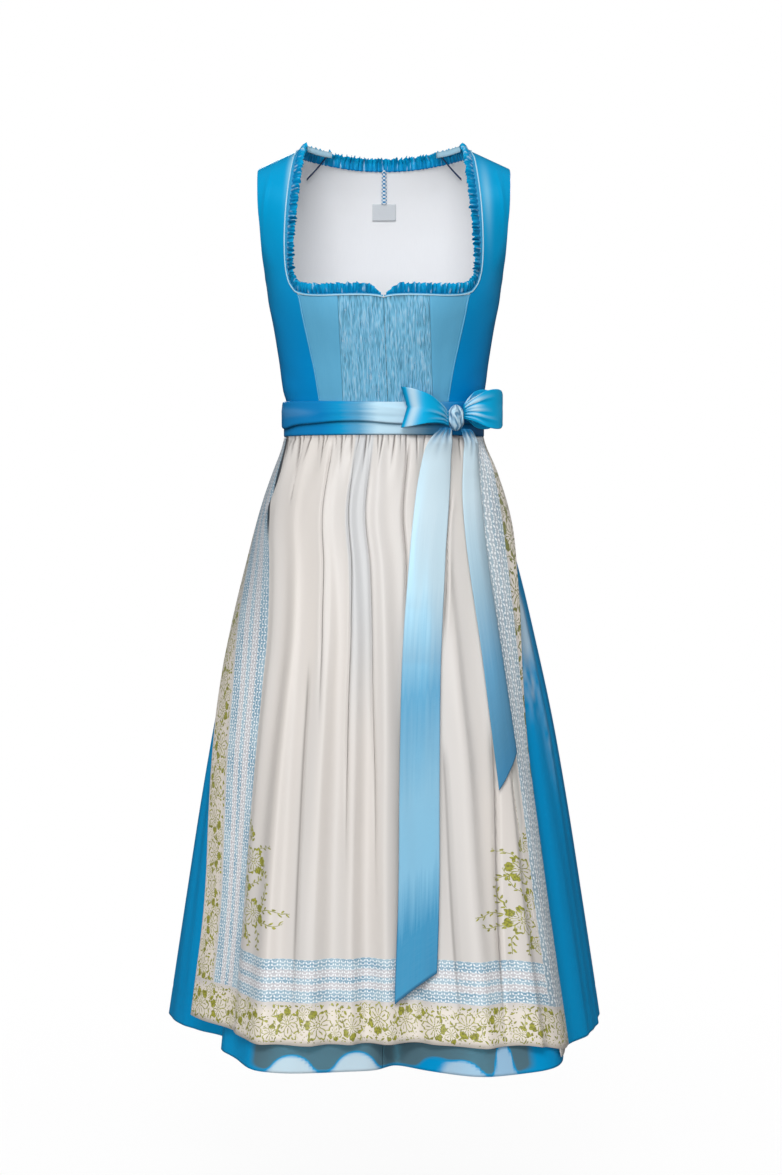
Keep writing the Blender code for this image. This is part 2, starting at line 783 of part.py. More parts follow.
def apron_lift(middle, height):
    """How far the apron's surface stands off the skirt, across its middle and right band."""
    start = ease((BAND_BOTTOM - height) / 0.05)
    edge = APRON_EDGE_LIFT * ease((middle - 0.93) / 0.16) * start
    return APRON_CLEAR + edge + apron_out(clamp(middle), height)


def apron_place(cloth_x, height):
    """A point of the apron. Cloth_x runs over the flat cloth's width, from its left edge."""
    side = 2 * BORDER_WIDTH

    def line(column):
        return APRON_LINES.at(column, height)

    shown = BORDER_WIDTH * line("band_shown")
    fold_at = APRON_WIDTH - BORDER_WIDTH + shown
    start = ease((BAND_BOTTOM - height) / 0.05)
    middle = (cloth_x - side) / (APRON_WIDTH - 2 * side)
    slit = 0.0
    turned = 0.0
    if cloth_x < side:
        degrees = mix(line("left_edge"), line("left_inner"), cloth_x / side)
        near_waist = 1 - ease((-0.50 - height) / 0.12)
        slit = 0.012 * start * near_waist * hill(cloth_x / side - 0.62, 0.20, 0.16)
        slit += 0.004 * start * hill(cloth_x / side - 0.45, 0.4, 0.3)
    elif middle <= 1:
        degrees = mix(line("left_inner"), line("right_inner"), middle)
    else:
        share = (min(cloth_x, fold_at) - (APRON_WIDTH - side)) / (fold_at - APRON_WIDTH + side)
        degrees = mix(line("right_inner"), line("right_fold"), share)
        turned = max(0.0, cloth_x - fold_at)
    out = apron_lift(middle, height) + slit
    if turned > 0:
        angle = min(turned / TURN_RADIUS, math.pi)
        flat = max(0.0, turned - math.pi * TURN_RADIUS)
        out -= TURN_RADIUS * (1 - math.cos(angle))
        ahead = TURN_RADIUS * math.sin(angle) - flat
        degrees += math.degrees(ahead / SKIRT.at("half_width", height)) * 1.08
    return form(degrees, height, out + fold_out(degrees, height, True))


def apron_columns():
    """The flat cloth's columns: closer where the right edge is turned under."""
    side = 2 * BORDER_WIDTH
    left = [side * k / 7 for k in range(7)]
    middle_count = APRON_GATHERS * 4
    middle = [side + (APRON_WIDTH - 2 * side) * k / middle_count for k in range(middle_count)]
    return left + middle


def apron_hem(cloth_x):
    """The hem is level, and hangs lower by the turned right edge."""
    return APRON_HEM - APRON_EDGE_DROP * ease((cloth_x / APRON_WIDTH - 0.78) / 0.16)


def build_apron():
    fixed = apron_columns()
    band = 5  # columns of the right band that shows
    turn = 5  # columns round the turned edge
    under = 3
    count = len(fixed) + band + turn + under

    def cloth_x_at(k, height):
        if k < len(fixed):
            return fixed[k]
        fold_at = APRON_WIDTH - BORDER_WIDTH * (1 - APRON_LINES.at("band_shown", height))
        k -= len(fixed)
        start = APRON_WIDTH - 2 * BORDER_WIDTH
        if k <= band:
            return mix(start, fold_at, k / band)
        left_over = APRON_WIDTH - fold_at
        round_it = min(math.pi * TURN_RADIUS, left_over * 0.6)
        k -= band
        if k <= turn:
            return fold_at + max(round_it, 1e-4 * turn) * k / turn
        after = fold_at + max(round_it, 1e-4 * turn)
        return mix(after, max(APRON_WIDTH, after + 0.0006), (k - turn) / under)

    def place(across, down):
        k = round(across * count)
        height = (BAND_BOTTOM - SEAM, *APRON_ROWS)[round(down * len(APRON_ROWS))]
        cloth_x = cloth_x_at(k, height)
        height += (apron_hem(cloth_x) - APRON_HEM) * ease(down)
        return apron_place(cloth_x, height)

    cloth("apron", count, len(APRON_ROWS), place, APRON_WALL, CREAM)


def waist_place(degrees, height, out):
    """A point round the waist, whose bands stand upright."""
    angle = math.radians(degrees)
    wide = TORSO.at("half_width", WAIST)
    deep = TORSO.at("front" if math.cos(angle) > 0 else "back", WAIST)
    normal = Vector((deep * math.sin(angle), -wide * math.cos(angle), 0)).normalized()
    return Vector((wide * math.sin(angle), -deep * math.cos(angle), height)) + normal * out


def build_waist():
    """The apron's waistband, and the ribbon that wraps the whole waist over it."""
    first = APRON_LINES.at("left_edge", BAND_BOTTOM)
    last = APRON_LINES.at("right_fold", BAND_BOTTOM)

    def band(across, down):
        degrees = mix(first, last, across)
        return waist_place(degrees, mix(BAND_TOP, BAND_BOTTOM, down), BAND_OUT)

    cloth("apron_waistband", 38, 1, band, BAND_WALL, SATIN)

    def wrap(across, down):
        degrees = 360.0 * across - 180.0
        behind = ease((abs(degrees) - 95) / 40)
        bottom = mix(WRAP_BOTTOM, BAND_BOTTOM + 0.0075, behind)
        return waist_place(degrees, mix(WRAP_TOP, bottom, down), WRAP_OUT + 0.0008 * down)

    cloth("tie_wrap", 48, 2, wrap, BAND_WALL, RIBBON, ring=True)


# ---------------------------------------------------------------- bow


def bow_frame():
    """The knot's middle, and the directions along the waist and outwards there."""
    stand = WRAP_OUT + KNOT_STAND + KNOT_HALF[1]
    knot = waist_place(BOW_ANGLE_DEG, KNOT_HEIGHT, stand)
    out = (waist_place(BOW_ANGLE_DEG, KNOT_HEIGHT, stand + 1) - knot).normalized()
    return knot, Vector((-out.y, out.x, 0)), out


# The loops of the bow, from the knot out to the fold at the end: how far along, how far the
# middle of the loop stands off the wrap, how much it is puffed, its half height, its middle,
# and how much farther its lower edge runs than its upper edge.
LOOPS = {
    "bow_loop_right": Table(
        "share along off puff half_height middle lean",
        (0.00, -0.0107, 0.0105, 0.0000, 0.0090, -0.0020, 0.000),
        (0.20, -0.0200, 0.0115, 0.0075, 0.0120, 0.0040, 0.001),
        (0.50, -0.0370, 0.0130, 0.0110, 0.0190, 0.0110, 0.003),
        (0.80, -0.0500, 0.0115, 0.0100, 0.0250, 0.0130, 0.010),
        (1.00, -0.0600, 0.0080, 0.0070, 0.0280, 0.0135, 0.014),
    ),
    "bow_loop_left": Table(
        "share along off puff half_height middle lean",
        (0.00, 0.0108, 0.0105, 0.0000, 0.0085, 0.0080, 0.000),
        (0.20, 0.0220, 0.0120, 0.0090, 0.0165, 0.0120, 0.000),
        (0.45, 0.0370, 0.0160, 0.0125, 0.0255, 0.0130, 0.000),
        (0.75, 0.0560, 0.0210, 0.0130, 0.0268, 0.0130, 0.001),
        (1.00, 0.0700, 0.0260, 0.0110, 0.0170, 0.0120, 0.001),
    ),
}


def loop_place(table, around, down):
    """A point of a bow loop: around runs out from the knot on its front and back behind."""
    angle = mix(0.12, 2 * math.pi - 0.12, around)
    share = math.sin(angle / 2) ** 2

    def read(column):
        return table.at(column, share)

    puff = read("puff") * math.sin(angle)
    off = read("off") + puff * (1.0 if puff > 0 else 0.55)
    along = read("along") + math.copysign(read("lean") * (down - 0.5), read("along"))
    degrees = BOW_ANGLE_DEG + math.degrees(along / WAIST_CURVE)
    height = KNOT_HEIGHT + read("middle") + mix(1, -1, down) * read("half_height")
    return waist_place(degrees, height, WRAP_OUT + KNOT_STAND + off)


def build_bow():
    knot, along, out = bow_frame()
    bm = bmesh.new()
    bmesh.ops.create_uvsphere(bm, u_segments=16, v_segments=9, radius=1.0)
    for vert in bm.verts:
        x, y, z = vert.co
        crease = 1 - 0.05 * math.cos(3 * math.pi * x) * (1 - z * z)
        point = along * (x * KNOT_HALF[0]) + out * (-y * KNOT_HALF[1])
        vert.co = knot + point * crease + Vector((0, 0, z * KNOT_HALF[2] * crease))
    bmesh.ops.recalc_face_normals(bm, faces=bm.faces)
    add_object("bow_knot", bm, RIBBON)
    for name, table in LOOPS.items():
        leftwards = table.rows[-1][1] < 0

        def place(around, down, table=table, leftwards=leftwards):
            return loop_place(table, around if leftwards else 1 - around, down)

        cloth(name, 18, 3, place, RIBBON_WALL, RIBBON)


def tail_place(table, ends, across, down):
    """A point of a hanging ribbon tail. Its end is cut on the slant."""
    bottom = mix(ends[0], ends[1], across)
    height = mix(table.rows[-1][0], bottom, down**1.45)
    side = mix(-1, 1, across)
    middle_x, half = table.at("x", height), table.at("half_width", height)
    wide = SKIRT.at("half_width", height)

    def degrees_at(x):
        return math.degrees(math.asin(clamp(x / (wide + 0.008), -1, 1)))

    left = APRON_LINES.at("left_inner", height)
    right = APRON_LINES.at("right_inner", height)
    crests = []
    for k in range(-4, 5):
        under = (degrees_at(middle_x + half * k / 3.4) - left) / (right - left)
        crests.append(apron_lift(under, height))
    off = max(crests) + RIBBON_WALL + table.at("off", height)
    off += 0.0012 * (1 - side * side) - table.at("turn", height) * max(0.0, side) ** 2
    degrees = degrees_at(middle_x + side * half)
    return form(degrees, height, fold_out(degrees, height, True) + off)


def build_tails():
    for name, table, ends in (
        ("ribbon_tail_long", LONG_TAIL, LONG_TAIL_END),
        ("ribbon_tail_short", SHORT_TAIL, SHORT_TAIL_END),
    ):

        def place(across, down, table=table, ends=ends):
            return tail_place(table, ends, across, down)

        cloth(name, 4, 14, place, RIBBON_WALL, RIBBON)


# ---------------------------------------------------------------- the model

for old in list(bpy.data.objects):
    bpy.data.objects.remove(old)

DRESS = bpy.data.collections.new("dirndl_dress")
bpy.context.scene.collection.children.link(DRESS)

SATIN = material("blue satin", 0.010, 0.230, 0.560, 0.35)
LIGHT_SATIN = material("light blue cloth", 0.120, 0.400, 0.600, 0.55)
RIBBON = material("ribbon satin", 0.030, 0.330, 0.700, 0.30)
CREAM = material("printed apron cloth", 0.680, 0.650, 0.610, 0.45)
LINING = material("pale lining", 0.760, 0.760, 0.780, 0.80)
LABEL = material("plain white label", 0.850, 0.850, 0.850, 0.60)

build_bodice()
build_trim()
build_back_details()
build_skirt()
build_apron()
build_waist()
build_bow()
build_tails()
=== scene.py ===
# %% [markdown]
# # A dirndl dress with a printed apron
#
# A dirndl is a fitted bodice over a gathered skirt, with an apron tied over both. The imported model
# already holds each cut piece at its real size. This lesson dresses that frame: every piece is made
# again as a fine sheet of cloth on the same form, with its creases, gathers, stitches and print.
# Units are metres, +Z is up, the front faces -Y and +X is the wearer's left.

# %% Load the frame
import math
from bisect import bisect_right

import bmesh
import bpy
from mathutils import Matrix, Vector, noise


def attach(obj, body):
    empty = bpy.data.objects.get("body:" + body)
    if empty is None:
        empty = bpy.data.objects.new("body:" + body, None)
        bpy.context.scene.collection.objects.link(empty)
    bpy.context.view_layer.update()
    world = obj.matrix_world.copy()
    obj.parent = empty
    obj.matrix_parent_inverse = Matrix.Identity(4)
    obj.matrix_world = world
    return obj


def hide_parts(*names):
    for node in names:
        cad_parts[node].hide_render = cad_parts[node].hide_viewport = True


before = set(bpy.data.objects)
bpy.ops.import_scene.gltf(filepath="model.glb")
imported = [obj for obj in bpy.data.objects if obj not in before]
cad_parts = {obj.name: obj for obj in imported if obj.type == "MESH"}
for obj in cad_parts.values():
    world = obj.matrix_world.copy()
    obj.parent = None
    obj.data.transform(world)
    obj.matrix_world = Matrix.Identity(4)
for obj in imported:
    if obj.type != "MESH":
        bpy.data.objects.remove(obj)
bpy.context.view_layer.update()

# %% [markdown]
# ## Numbers that read smoothly
#
# A maker writes a pattern as a few measures at named heights. `Table` keeps such rows and reads a
# smooth curve through them, so ten rows can shape a panel with a hundred rows of cells.

# %% Small maths and the table
def mix(a, b, t):
    return a + (b - a) * t


def clamp(value, low=0.0, high=1.0):
    return max(low, min(high, value))


def ease(t):
    t = clamp(t)
    return t * t * (3 - 2 * t)


def bell(distance, spread):
    """1 at the middle, falling away evenly over a spread."""
    return math.exp(-((distance / spread) ** 2))


def hill(distance, left, right):
    """1 at the top of a fold, falling away over its spread on each side."""
    return bell(distance, left if distance < 0 else right)


def waver(x, y, z):
    """A smooth noise, from about -1 to 1, that depends only on the place."""
    return noise.noise(Vector((x, y, z)))


class Table:
    """Rows under named columns, read smoothly at any value of the first column."""

    def __init__(self, columns, *rows):
        rows = sorted(rows)
        self.keys = [row[0] for row in rows]
        self.values = {name: [row[k] for row in rows] for k, name in enumerate(columns.split())}

    def slope(self, values, k):
        low, high = max(k - 1, 0), min(k + 1, len(values) - 1)
        return (values[high] - values[low]) / (self.keys[high] - self.keys[low])

    def at(self, column, key):
        values = self.values[column]
        if key <= self.keys[0]:
            return values[0]
        if key >= self.keys[-1]:
            return values[-1]
        i = bisect_right(self.keys, key) - 1
        step = self.keys[i + 1] - self.keys[i]
        t = (key - self.keys[i]) / step
        return (
            (2 * t**3 - 3 * t**2 + 1) * values[i]
            + (t**3 - 2 * t**2 + t) * step * self.slope(values, i)
            + (3 * t**2 - 2 * t**3) * values[i + 1]
            + (t**3 - t**2) * step * self.slope(values, i + 1)
        )


print("halfway up an ease:", ease(0.5))

# %% [markdown]
# ## The torso chart
#
# The bodice is cut to a body, so its pieces share one surface. A point on it is an angle from the
# centre front (or back) and a rise, 0 at the waist seam and 1 on the shoulder line. One could also
# sculpt a torso and shrink-wrap cloth to it. A chart is chosen because seams stay exact on it, and
# each layer is the same point moved out by that layer's distance.

# %% Heights, layers and the torso
SIDES = (("left", 1), ("right", -1))  # the wearer's sides, and the sign of x on each
SEAM = 0.0003
WAIST = -0.378
UNDERARM = -0.185
SHOULDER_TIP = -0.0295
HEM = -1.2256
APRON_HEM = -1.189

SHOULDER_RISE, SHOULDER_SLOPE = 0.050, 0.45
SHOULDER_CURVE_START = -0.130
ARMHOLE_CUT_DEG = 35.0
BUST_OUT, BUST_APART, BUST_HEIGHT, BUST_SPREAD = 0.012, 0.080, -0.235, 0.046

BODICE_WALL, LINING_WALL, LINING_GAP = 0.0015, 0.0010, 0.0024
SKIRT_WALL, APRON_WALL, RIBBON_WALL, RUFFLE_WALL = 0.0015, 0.0011, 0.0011, 0.0006
SIDE_GAP_DEG = 0.04
TOP_RISE = 0.999997

TORSO = Table(
    "height half_width front back",
    (-0.400, 0.1368, 0.0990, 0.0905),
    (-0.378, 0.1366, 0.0985, 0.0900),
    (-0.357, 0.1380, 0.0995, 0.0908),
    (-0.342, 0.1425, 0.1030, 0.0932),
    (-0.303, 0.1480, 0.1120, 0.0970),
    (-0.261, 0.1547, 0.1210, 0.1040),
    (-0.219, 0.1624, 0.1270, 0.1110),
    (-0.185, 0.1678, 0.1250, 0.1150),
    (-0.156, 0.1768, 0.1200, 0.1170),
    (-0.135, 0.1828, 0.1160, 0.1175),
    (-0.114, 0.1894, 0.1110, 0.1170),
    (-0.093, 0.1967, 0.1060, 0.1150),
    (-0.051, 0.2095, 0.0980, 0.1100),
    (-0.030, 0.2157, 0.0950, 0.1070),
    (0.050, 0.2200, 0.0900, 0.1000),
)


def shoulder_line(x):
    return SHOULDER_RISE - SHOULDER_SLOPE * abs(x)


def rise_of(x, height):
    return (height - WAIST) / (shoulder_line(x) - WAIST)


def half_width(rise):
    return TORSO.at("half_width", mix(WAIST, SHOULDER_TIP, rise))


def armhole_deg(rise):
    """Degrees from the centre to the bodice's outer edge: the side seam, then the armhole."""
    above = (rise - rise_of(0.1675, UNDERARM)) / (1 - rise_of(0.1675, UNDERARM))
    return 90.0 - ARMHOLE_CUT_DEG * math.sqrt(clamp(above))


def torso_at(degrees, rise, back):
    angle = math.radians(degrees)
    x = half_width(rise) * math.sin(angle)
    height = mix(WAIST, shoulder_line(x), rise)
    lean = (height - SHOULDER_CURVE_START) / (shoulder_line(x) - SHOULDER_CURVE_START)
    out = math.cos(angle) * math.sqrt(1 - clamp(lean) ** 3)
    if back:
        return Vector((x, TORSO.at("back", height) * out, height))
    spread = (abs(x) - BUST_APART) ** 2 + (height - BUST_HEIGHT) ** 2
    bust = BUST_OUT * math.exp(-spread / BUST_SPREAD**2)
    return Vector((x, -(TORSO.at("front", height) + bust) * out, height))


def torso(degrees, rise, back=False, out=0.0):
    """A point on the torso, moved out along its normal."""
    step_deg, step_rise = 0.5, 0.003
    level = min(rise, 0.9995)
    low, high = max(rise - step_rise, 0.0), min(rise + step_rise, 0.9995)
    across = torso_at(degrees + step_deg, level, back) - torso_at(degrees - step_deg, level, back)
    up = torso_at(degrees, high, back) - torso_at(degrees, low, back)
    normal = across.cross(up).normalized() * (-1.0 if back else 1.0)
    return torso_at(degrees, rise, back) + normal * out


def degrees_of(x, rise):
    return math.degrees(math.asin(clamp(x / half_width(rise), -1.0, 1.0)))


def torso_xz(x, height, back=False, out=0.0):
    rise = rise_of(x, height)
    return torso(degrees_of(x, rise), rise, back, out)


print("the bust line is", round(2 * TORSO.at("half_width", BUST_HEIGHT), 3), "m across")

# %% [markdown]
# ## The skirt chart
#
# Below the waist the cloth hangs free. The chart is an oval that widens towards the hem, with large
# folds that grow from where each one starts. The apron, its ribbons and the skirt all read the same
# folds, so a layer never cuts through the one below it.

# %% The skirt's form and folds
SKIRT = Table(
    "height half_width front back",
    (-0.378, 0.1356, 0.0975, 0.0890),
    (-0.400, 0.1366, 0.0990, 0.0905),
    (-0.430, 0.1435, 0.1060, 0.0990),
    (-0.494, 0.1650, 0.1285, 0.1240),
    (-0.579, 0.1885, 0.1580, 0.1520),
    (-0.665, 0.2100, 0.1850, 0.1780),
    (-0.793, 0.2390, 0.2180, 0.2100),
    (-0.922, 0.2620, 0.2440, 0.2370),
    (-1.052, 0.2820, 0.2680, 0.2610),
    (-1.226, 0.3085, 0.2930, 0.2850),
)

FOLDS = (
    # angle, out at the hem, spread on the left, spread on the right, height where it starts
    (-27.0, 0.042, 9.0, 16.0, -0.52),
    (3.0, -0.022, 3.5, 5.5, -0.66),
    (22.0, 0.050, 9.5, 12.0, -0.54),
    (37.5, 0.050, 10.0, 9.5, -0.50),
    (-54.5, -0.046, 18.0, 6.5, -0.70),
    (113.0, -0.028, 9.0, 8.0, -0.62),
    (136.0, 0.030, 14.0, 12.0, -0.52),
    (160.0, -0.026, 8.0, 9.0, -0.66),
    (184.0, 0.034, 14.0, 12.0, -0.50),
    (208.0, -0.028, 9.0, 8.0, -0.60),
    (231.0, 0.028, 13.0, 12.0, -0.54),
    (252.0, -0.026, 8.0, 9.0, -0.64),
)

GATHER_COUNT, GATHER_SWING, GATHER_END = 24, 0.0042, -0.640


def turn_apart(a, b):
    """Signed degrees from angle b to angle a, the short way round."""
    return (a - b + 180.0) % 360.0 - 180.0


def oval(table, level, degrees, height, out):
    """A point on a table's oval at a level, put at a height and moved out level with the floor."""
    angle = math.radians(degrees)
    wide = table.at("half_width", level)
    deep = table.at("front" if math.cos(angle) > 0 else "back", level)
    normal = Vector((deep * math.sin(angle), -wide * math.cos(angle), 0)).normalized()
    return Vector((wide * math.sin(angle), -deep * math.cos(angle), height)) + normal * out


def form(degrees, height, out):
    """A point on the skirt's plain form."""
    return oval(SKIRT, height, degrees, height, out)


def fold_out(degrees, height, standing_out_only):
    """How far the skirt's large folds carry its cloth in or out."""
    total = 0.0
    for angle, out, left, right, start in FOLDS:
        if standing_out_only and out < 0:
            continue
        grown = clamp((start - height) / (start - HEM))
        total += out * grown**1.15 * hill(turn_apart(degrees, angle), left, right)
    return total


print("the hem is about", round(2 * SKIRT.at("half_width", HEM), 3), "m across")

# %% [markdown]
# ## Shader maths as plain sums
#
# A satin, a print and a weave are all sums over the cloth's own coordinates. Wiring dozens of Math
# nodes by hand hides the idea, so `Value` wraps a socket and lets Python's operators add the nodes.
# `Finish` is one material: its `node` method makes any other node from its settings and sockets.

# %% Value and Finish
class Value:
    """A number or vector socket of a material, written in sums."""

    def __init__(self, finish, socket):
        self.finish, self.socket = finish, socket

    def output(self, name):
        """Another output of the same node."""
        return Value(self.finish, self.socket.node.outputs[name])

    def sums(operation, turned=False):
        """A method that adds one Math node. Turned swaps its two values."""
        def add(self, other=0.0):
            a, b = (other, self) if turned else (self, other)
            return self.finish.node("ShaderNodeMath", {"operation": operation}, {0: a, 1: b})
        return add

    __add__ = __radd__ = sums("ADD")
    __mul__ = __rmul__ = sums("MULTIPLY")
    __sub__, __rsub__ = sums("SUBTRACT"), sums("SUBTRACT", turned=True)
    __truediv__, __pow__, __mod__ = sums("DIVIDE"), sums("POWER"), sums("FLOORED_MODULO")
    __lt__, __gt__ = sums("LESS_THAN"), sums("GREATER_THAN")
    __abs__, floor, sin, cos = sums("ABSOLUTE"), sums("FLOOR"), sums("SINE"), sums("COSINE")
    least, most = sums("MINIMUM"), sums("MAXIMUM")


class Finish:
    """A Principled material under construction."""

    def __init__(self, name, roughness, **constants):
        self.material = bpy.data.materials.new(name)
        self.material.use_nodes = True
        self.tree = self.material.node_tree
        self.shader = self.tree.nodes["Principled BSDF"]
        self.shader.inputs["Roughness"].default_value = roughness
        for socket, value in constants.items():
            socket = socket.replace("_", " ").title().replace("Ior", "IOR")
            self.shader.inputs[socket].default_value = value
        self.flat = None

    def node(self, kind, settings, sockets, output=0):
        made = self.tree.nodes.new(kind)
        for name, setting in settings.items():
            if name == "stops":
                ramp = made.color_ramp
                while len(ramp.elements) < len(setting):
                    ramp.elements.new(0.5)
                for element, (place, colour) in zip(ramp.elements, setting):
                    element.position, element.color = place, (*colour, 1)
            else:
                setattr(made, name, setting)
        for name, value in sockets.items():
            if isinstance(value, Value):
                self.tree.links.new(value.socket, made.inputs[name])
            else:
                made.inputs[name].default_value = value
        return Value(self, made.outputs[output])

    def cloth_xy(self):
        """The cloth's own coordinates, in metres across and along."""
        if self.flat is None:
            uv = self.node("ShaderNodeUVMap", {"uv_map": "cloth"}, {})
            across = self.node("ShaderNodeSeparateXYZ", {}, {0: uv})
            self.flat = (across, across.output(1))
        return self.flat

    def object_place(self):
        """X of the place on the piece itself, in metres. Outputs 1 and 2 are its y and z."""
        where = self.node("ShaderNodeTexCoord", {}, {}, output=3)
        return self.node("ShaderNodeSeparateXYZ", {}, {0: where})

    def place(self, x, y, z=0.0):
        return self.node("ShaderNodeCombineXYZ", {}, {0: x, 1: y, 2: z})

    def noise(self, where, scale, detail=2.0, rough=0.5):
        sockets = {"Vector": where, "Scale": scale, "Detail": detail, "Roughness": rough}
        return self.node("ShaderNodeTexNoise", {}, sockets)

    def grain(self, x, y, detail=1.0, rough=0.5, z=0.0):
        """Noise over a place that is already stretched to the noise's own scale."""
        return self.noise(self.place(x, y, z), 1.0, detail, rough)

    def smooth(self, value, low, high):
        """0 below low, 1 above high, and an ease between them."""
        sockets = {0: value, 1: low, 2: high, 3: 0.0, 4: 1.0}
        return self.node("ShaderNodeMapRange", {"interpolation_type": "SMOOTHSTEP"}, sockets)

    def inside(self, value, low, high, soft):
        """1 between low and high, with soft edges."""
        rising = self.smooth(value, low - soft, low + soft)
        return rising - self.smooth(value, high - soft, high + soft)

    def blend(self, share, a, b):
        """Colour a where share is 0, colour b where it is 1."""
        settings = {"data_type": "RGBA"}
        colours = {6 + k: c if isinstance(c, Value) else (*c, 1) for k, c in enumerate((a, b))}
        return self.node("ShaderNodeMix", settings, {0: share, **colours}, output=2)

    def shade(self):
        """Painted shade, 0 to 1, in creases and shadows; below 0, a painted highlight."""
        return self.node("ShaderNodeAttribute", {"attribute_name": "shade"}, {}, output=2)

    def painted_shading(self, colour, dark, pale, depth=0.7):
        """A colour with painted shade above 0 and a painted highlight below 0."""
        shade = self.shade()
        colour = self.blend(shade.most(0.0) * depth, colour, dark)
        return self.blend((shade * -1.0).most(0.0) * depth, colour, pale)

    def set(self, socket, value):
        self.tree.links.new(value.socket, self.shader.inputs[socket])

    def colour(self, value):
        self.set("Base Color", value)

    def bump(self, height, depth, strength=1.0):
        sockets = {"Height": height, "Distance": depth, "Strength": strength}
        self.set("Normal", self.node("ShaderNodeBump", {}, sockets))


def linear(red, green, blue):
    """A screen colour, 0 to 255, as the shader wants it."""
    def one(level):
        level /= 255
        return level / 12.92 if level <= 0.04045 else ((level + 0.055) / 1.055) ** 2.4
    return one(red), one(green), one(blue)


print("a mid grey is", round(linear(128, 128, 128)[0], 3), "in linear light")

# %% [markdown]
# ## The blue satin
#
# Satin floats its shiny warp threads over the weft, so light slides along it in broad, soft bands.
# The skirt's satin is a duchess weight: a deep blue with a pale gloss, faint slubs that run with
# the weft, and a very fine twill line. Colour stays nearly even. The lights make most of the
# bands, and painted shade and painted highlights kept on the cloth make the rest.

# %% Satin for the bodice and skirt
THREAD_DEPTH = 0.00012
GLOSS = {"ior": 1.5, "specular_ior_level": 0.55, "specular_tint": (0.10, 0.68, 1.0, 1.0)}


def satin_threads(finish):
    """Fine warp threads, and the thicker slubs among them."""
    across, along = finish.cloth_xy()
    threads = finish.grain(across * 55.0, along * 1700.0, 2.0, 0.6)
    return threads, finish.smooth(finish.grain(across * 40.0, along * 420.0), 0.60, 0.78)


def satin(name, deep, bright, roughness, slub=0.30, dark=linear(88, 118, 130), **constants):
    finish = Finish(name, roughness, **constants)
    across, along = finish.cloth_xy()
    drift = finish.grain(across * 5.0, along * 2.0, 2.0)
    threads, slubs = satin_threads(finish)
    share = finish.smooth(drift, 0.3, 0.7) * 0.5 + threads * 0.35 + slubs * slub
    colour = finish.blend(share, deep, bright)
    # Painted shadow (dark teal) and painted highlights (pale), set by the cloth's shade.
    finish.colour(finish.painted_shading(colour, dark, linear(206, 224, 234), 4.0))
    finish.set("Roughness", roughness + (threads - 0.5) * 0.10 + slubs * 0.05)
    twill = ((across * 0.7 + along) * (2 * math.pi / 0.0007)).sin() * 0.25
    finish.bump(twill + threads * 0.8 + slubs * 0.6, THREAD_DEPTH, 0.5)
    return finish.material


SATIN = satin("blue duchess satin", (0.0003, 0.285, 0.630), (0.0004, 0.380, 0.770), 0.30, **GLOSS)
SATIN_BACK = satin("blue satin wrong side", (0.002, 0.130, 0.290), (0.006, 0.190, 0.360), 0.65)
print("satin:", SATIN.name)

# %% [markdown]
# ## The light blue front and its piping
#
# The centre front is cut from a lighter cloth with a dull face. A plain weave is two crossed
# ripples, and it needs only a bump this fine. The piping and the neck binding use the same blue in
# satin.

# %% The front's cloths
def plain_weave(finish, pitch, depth, strength=0.6):
    """Crossed threads as a bump, with some threads thicker than others."""
    across, along = finish.cloth_xy()
    turns = 2 * math.pi / pitch
    threads = (across * turns).sin() * (along * turns).sin() * 0.5
    uneven = finish.grain(across * 900.0, along * 60.0)
    finish.bump(threads + uneven, depth, strength)
    return uneven


def dull_cloth(name, deep, bright, roughness, pitch=0.0006, **constants):
    finish = Finish(name, roughness, **constants)
    across, along = finish.cloth_xy()
    uneven = plain_weave(finish, pitch, 0.0001)
    drift = finish.grain(across * 9.0, along * 6.0, 2.0)
    colour = finish.blend(uneven * 0.5 + drift * 0.5, deep, bright)
    # Painted shade in creases and painted highlights, set by the cloth's shade.
    dark, pale = tuple(0.25 * c for c in deep), tuple(0.5 + 0.5 * c for c in bright)
    finish.colour(finish.painted_shading(colour, dark, pale))
    return finish.material


LIGHT_BLUE = dull_cloth("light blue front", linear(80, 166, 208), linear(98, 178, 214), 0.70)
RUCHED = dull_cloth("light blue ruched", linear(96, 176, 214), linear(118, 190, 222), 0.62)
PIPING = dull_cloth("pale piping", linear(150, 204, 228), linear(190, 222, 238), 0.42, 0.0005)
SEAM_CORD = dull_cloth("seam cord", linear(70, 160, 206), linear(104, 184, 218), 0.42, 0.0005)
BINDING = dull_cloth("neck binding", linear(16, 138, 190), linear(44, 160, 208), 0.42, 0.0005)
LINING = dull_cloth("white lining", linear(228, 230, 234), linear(238, 239, 242), 0.85, 0.0008)
LABEL = dull_cloth("plain label", linear(200, 206, 212), linear(212, 216, 220), 0.70, 0.0005)
NAVY = dull_cloth("navy ribbon", linear(16, 42, 84), linear(30, 62, 108), 0.55, 0.0005)
CORD_BLUE = dull_cloth("braid blue", linear(14, 118, 176), linear(40, 142, 194), 0.50, 0.0005)
CORD_WHITE = dull_cloth("braid white", linear(238, 244, 248), linear(246, 250, 252), 0.50, 0.0005)
print("plain cloths:", LIGHT_BLUE.name, LINING.name, NAVY.name)
